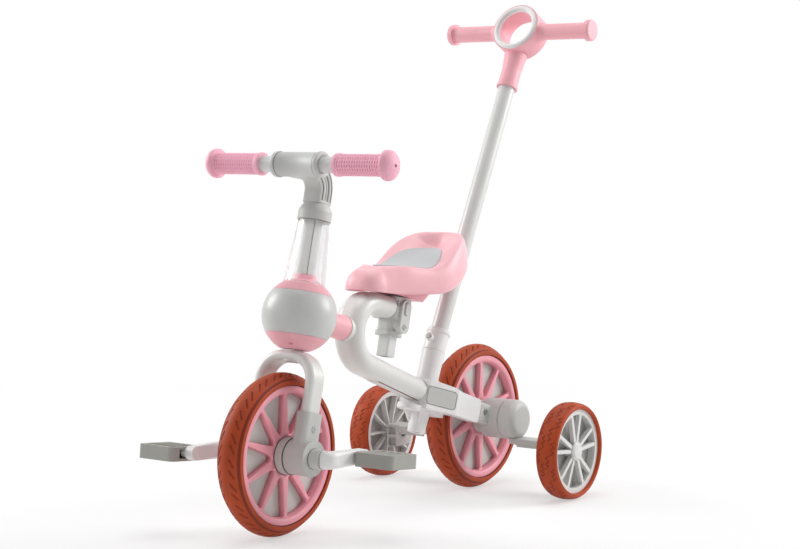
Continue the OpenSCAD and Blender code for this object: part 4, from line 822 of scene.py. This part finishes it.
TRIM_RUN, TRIM_HALF, TRIM_STEP, TRIM_COLUMNS = (170.0, 274.0), 9.6, 0.4, 38
STAY_SLOPE, STAY_DROP, TUBE_HALF, TUBE_FLAT = math.radians(20.9), 5.0, 15.5, 7.0
LINE_WIDE, LINE_SOFT, RIGHT_LINE = 1.7, 0.5, 0.75
RIB_PITCH, RIB_LEAN, RIB_GAP, RIB_SHARE = 3.0, 0.5, 0.7, 0.34
TRIM_LIFT, TRIM_RELIEF = 0.25, 0.35
TRIM_LIP, TRIM_LIP_SINK = 0.8, 0.5


def trim(material):
    axle = middle_and_halves("rear_core")[0] / MM
    s = np.arange(*TRIM_RUN, TRIM_STEP)
    y = np.linspace(-TRIM_HALF - TRIM_LIP, TRIM_HALF + TRIM_LIP, TRIM_COLUMNS)
    ss, yy = np.meshgrid(s, y, indexing="ij")
    left = smooth01((yy - TRIM_HALF + LINE_WIDE) / LINE_SOFT)
    right = smooth01((LINE_WIDE - TRIM_HALF - yy) / LINE_SOFT)
    # Goes from 0 to 2 and back over each rib
    wave = 4 * np.abs((ss + RIB_LEAN * yy) / RIB_PITCH % 1 - 0.5)
    raised = np.maximum(np.maximum(left, RIGHT_LINE * right), RIB_SHARE * smooth01(wave - RIB_GAP))
    tube = -np.sqrt(TUBE_HALF ** 2 - np.maximum(0, np.abs(yy) - TUBE_FLAT) ** 2)
    sink = TRIM_LIP_SINK * smooth01((np.abs(yy) - TRIM_HALF) / TRIM_LIP)
    n = tube - TRIM_LIFT - TRIM_RELIEF * raised + sink
    x = axle.x + ss * math.cos(STAY_SLOPE) - n * math.sin(STAY_SLOPE)
    z = axle.z - STAY_DROP + ss * math.sin(STAY_SLOPE) + n * math.cos(STAY_SLOPE)
    points = np.stack([x, yy, z], -1).reshape(-1, 3) * MM
    faces = grid_faces(*ss.shape, wrap_columns=False)
    piece("tube_trim", points, faces, material, "frame", groove=raised.reshape(-1))


# Painted shadow: dark rings in the gaps where pieces meet and in the knobs' holes, and a dark line down the
# stem tube's corner (mm)

SEAM_THICK, SEAM_ROUND, SEAM_SIDES = 0.45, 96, 8
CLAMP_SEAM_Y, CLAMP_SEAM_R = 32.7, 16.8
COLLAR_T, COLLAR_R = 318.6, 21.9
# Shadow rings at the seams about the front axle: name, distance from the middle, radius and body
AXLE_SEAMS = (("hub", 14.5, 25.2, "front_wheel"),
              ("drum", 27.3, 24.6, "steering"),
              ("crank", 61.3, 13.3, "steering"))
TUBE_SEAM_ENDS, TUBE_CORNER, TUBE_SEAM_R, TUBE_SEAM_SIDES = (222.0, 318.0), 8.5, 0.4, 6
KNOB_HOLE_R, KNOB_HOLE_IN = 0.9, 1.0
SIDES = (("left", 1), ("right", -1))


def shadow_ring(name, centre, axis, radius, material, body, thick=SEAM_THICK):
    """A thin dark ring of painted shadow, in the gap where two pieces meet."""
    turn = Vector(axis).to_track_quat("Z", "Y")
    points = []
    for a in np.linspace(0, TAU, SEAM_ROUND, endpoint=False):
        for b in np.linspace(0, TAU, SEAM_SIDES, endpoint=False):
            r = radius + thick * math.cos(b)
            point = turn @ Vector((r * math.cos(a), r * math.sin(a), thick * math.sin(b)))
            points.append((point + Vector(centre)) * MM)
    piece(name, points, grid_faces(SEAM_ROUND, SEAM_SIDES, wrap_rows=True), material, body)


def tube_edge_shadow(material):
    """A thin dark line down the tube's corner that faces ahead and left: painted shade along that edge."""
    foot, up, ahead = steer_frame()
    points = []
    for t in TUBE_SEAM_ENDS:
        for a in np.linspace(0, TAU, TUBE_SEAM_SIDES, endpoint=False):
            x, y = TUBE_CORNER + TUBE_SEAM_R * math.cos(a), TUBE_CORNER + TUBE_SEAM_R * math.sin(a)
            points.append((foot + t * up + x * ahead + np.array([0, y, 0])) * MM)
    faces = grid_faces(2, TUBE_SEAM_SIDES) + end_faces(2, TUBE_SEAM_SIDES)
    piece("stem_tube_edge_shadow", points, faces, material, "steering")


def gap_shadows(material):
    bar = middle_and_halves("handlebar")[0] / MM
    foot, up, _ = steer_frame()
    for name, side in SIDES:
        middle = (bar.x, side * CLAMP_SEAM_Y, bar.z)
        shadow_ring("clamp_gap_shadow_" + name, middle, Y_AXIS, CLAMP_SEAM_R, material, "steering")
    shadow_ring("collar_gap_shadow", foot + up * COLLAR_T, up, COLLAR_R, material, "steering")
    for name, side in SIDES:
        for place, y, radius, body in AXLE_SEAMS:
            middle = foot + np.array([0, side * y, 0])
            shadow_ring(place + "_gap_shadow_" + name, middle, Y_AXIS, radius, material, body)
    tube_edge_shadow(material)
    for name, side in SIDES:
        # A dark dot of painted shadow at the bottom of each knob's hole
        low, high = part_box("grip_" + name)
        end = (high.y if side > 0 else low.y) / MM
        middle = (bar.x, end - side * KNOB_HOLE_IN, bar.z)
        shadow_ring("knob_hole_shadow_" + name, middle, Y_AXIS, KNOB_HOLE_R, material, "steering",
                  thick=KNOB_HOLE_R)


# Floor and light

FLOOR_HALF, FLOOR_DROP = 14.0, 0.0005
FLOOR_FADE, FLOOR_GLOW = (0.3, 1.6), (0.5, 1)
WHITE = (1, 1, 1, 1)
WORLD_LIGHT = 0.37
LIGHT_AIM = Vector((0, 0, 0.35))
# Area lights: name, place, size and watts
LIGHTS = (("right", (-1.7, 1.6, 1.3), 1.3, 37),
          ("left", (0.8, -2.2, 1.4), 1.3, 33),
          ("top", (-0.2, -0.1, 2.9), 1.8, 24))


def seen_rays(tree):
    """1 on the rays that look at a backdrop, 0 on those that light the object by it."""
    rays = tree.nodes.new("ShaderNodeLightPath")
    total = rays.outputs["Is Camera Ray"]
    for ray in ("Is Glossy Ray", "Is Transmission Ray"):
        most = tree.nodes.new("ShaderNodeMath")
        most.operation = "MAXIMUM"
        tree.links.new(total, most.inputs[0])
        tree.links.new(rays.outputs[ray], most.inputs[1])
        total = most.outputs[0]
    return total


def make_floor():
    """A pale floor that takes shadows and fades to plain white away from the object."""
    mesh = bpy.data.meshes.new("floor")
    h = FLOOR_HALF
    mesh.from_pydata([(-h, -h, 0), (h, -h, 0), (h, h, 0), (-h, h, 0)], [], [(0, 1, 2, 3)])
    floor = bpy.data.objects.new("floor", mesh)
    floor.location.z = -FLOOR_DROP
    bpy.context.scene.collection.objects.link(floor)
    s = Surface("floor")
    s.paint(s.shade(FLOOR_WHITE, scale=3, amount=0.006))
    s.set(Roughness=0.9)
    glow = s.add("ShaderNodeEmission")
    distance = s.add("ShaderNodeVectorMath", operation="LENGTH")
    s.feed(s.place, distance.inputs[0])
    fade = s.spread(distance.outputs["Value"], *FLOOR_GLOW, *FLOOR_FADE)
    share = s.add("ShaderNodeMath", operation="MULTIPLY")
    s.feed(fade, share.inputs[0])
    s.feed(seen_rays(s.tree), share.inputs[1])
    blend = s.add("ShaderNodeMixShader")
    s.feed(share.outputs[0], blend.inputs[0])
    s.feed(s.shader.outputs[0], blend.inputs[1])
    s.feed(glow.outputs[0], blend.inputs[2])
    s.feed(blend.outputs[0], s.tree.nodes["Material Output"].inputs["Surface"])
    mesh.materials.append(s.material)


def make_world():
    """Even light all round, seen as plain white."""
    world = bpy.data.worlds.new("studio")
    bpy.context.scene.world = world
    world.use_nodes = True
    tree = world.node_tree
    lit = tree.nodes["Background"]
    lit.inputs["Color"].default_value = WHITE
    lit.inputs["Strength"].default_value = WORLD_LIGHT
    seen = tree.nodes.new("ShaderNodeBackground")
    seen.inputs["Color"].default_value = WHITE
    mix = tree.nodes.new("ShaderNodeMixShader")
    tree.links.new(seen_rays(tree), mix.inputs[0])
    tree.links.new(lit.outputs[0], mix.inputs[1])
    tree.links.new(seen.outputs[0], mix.inputs[2])
    tree.links.new(mix.outputs[0], tree.nodes["World Output"].inputs["Surface"])


def make_lights():
    for name, place, size, watts in LIGHTS:
        data = bpy.data.lights.new(name, "AREA")
        data.shape = "DISK"
        data.size = size
        data.energy = watts
        lamp = bpy.data.objects.new(name, data)
        lamp.location = place
        aim = LIGHT_AIM - Vector(place)
        lamp.rotation_euler = aim.to_track_quat("-Z", "Y").to_euler()
        bpy.context.scene.collection.objects.link(lamp)


# Materials of the CAD nodes

pink = moulded("pink_plastic", PINK)
grey = moulded("grey_plastic", GREY)
white = moulded("white_plastic", PLASTIC_WHITE, rough=0.34)
tyre_material = rubber("tyre_rubber", TERRACOTTA, GROOVE_SHADE_BROWN)
grip_material = soft_rubber("grip_rubber", GRIP_PINK, GRIP_SHADE_PINK)
rim_material = moulded("rim_plastic", RIM_PINK)
saddle_material = moulded("saddle_plastic", SADDLE_PINK, rough=0.38)
pad_material = moulded("pad_rubber", PAD_GREY, rough=0.6, grain=0.00012)

dress(painted("frame_paint", FRAME_WHITE), "frame_tube", "fork")
dress(painted("push_tube_paint", TUBE_GREY), "push_tube", "seat_post", "handlebar")
dress(white, "yoke", "socket_collar", "push_ring_insert", "crank_left", "crank_right")
dress(moulded("small_rim_plastic", SMALL_RIM_WHITE), "training_rim_left", "training_rim_right")
dress(grey, "rear_dropout_left", "rear_dropout_right", "rear_hub_cap_left", "rear_hub_cap_right",
      "training_bracket_left", "training_bracket_right", "seat_clamp", "seat_button", "push_button",
      "fork_end_left", "fork_end_right", "stem_tube", "stem_collar", "stem", "head_bushes")
dress(moulded("ball_plastic", BALL_GREY, rough=0.36, coat=0.15), "head_ball")
dress(moulded("panel_plastic", PANEL_GREY), "yoke_panels")
dress(moulded("disc_plastic", DISC_GREY), "front_core", "rear_core")
dress(moulded("small_disc_shaded_plastic", SMALL_DISC_SHADED_GREY), "training_disc_left", "training_disc_right")
dress(moulded("pedal_plastic", PEDAL_GREY, rough=0.5), "pedal_left", "pedal_right")
dress(pink, "head_cap_top", "head_cap_bottom", "head_sleeve", "push_handle", "saddle_bracket")
dress(rim_material, "front_spokes_left", "front_spokes_right", "rear_spokes_left", "rear_spokes_right")
dress(saddle_material, "saddle")
dress(pad_material, "saddle_pad")
dress(clear("clear_plastic"), "light_tube")
dress(brushed("steel", STEEL), "rear_axle", "training_axles", "frame_screws", "steerer", "fork_screws",
      "crank_spindle")
dress(tyre_material, "front_tyre", "rear_tyre", "training_tyre_left", "training_tyre_right")
dress(grip_material, "grip_left", "grip_right")

# Finer pieces

for wheel in ("front", "rear"):
    large_tyre(wheel + "_tyre", wheel + "_wheel", wheel + "_spokes_left", tyre_material)
for name, _ in SIDES:
    small_tyre("training_tyre_" + name, "training_wheel_" + name, "training_rim_" + name, tyre_material)
for wheel in ("front", "rear"):
    for name, _ in SIDES:
        spoked_cover(wheel + "_spokes_" + name, wheel + "_wheel", rim_material)
# The stem's slots turn to shadow grey: painted shade down in them
stem(moulded("stem_plastic", GREY, groove_colour=SHADOW_GREY))
for name, side in SIDES:
    grip("grip_" + name, side, grip_material)
saddle(saddle_material, pad_material)
trim(soft_rubber("trim_rubber", FRAME_WHITE, TRIM_BROWN))
gap_shadows(moulded("seam_shadow", SHADOW_GREY, rough=0.7))

# Stage

make_camera()
make_floor()
make_world()
make_lights()
bpy.context.scene.view_settings.view_transform = "Standard"
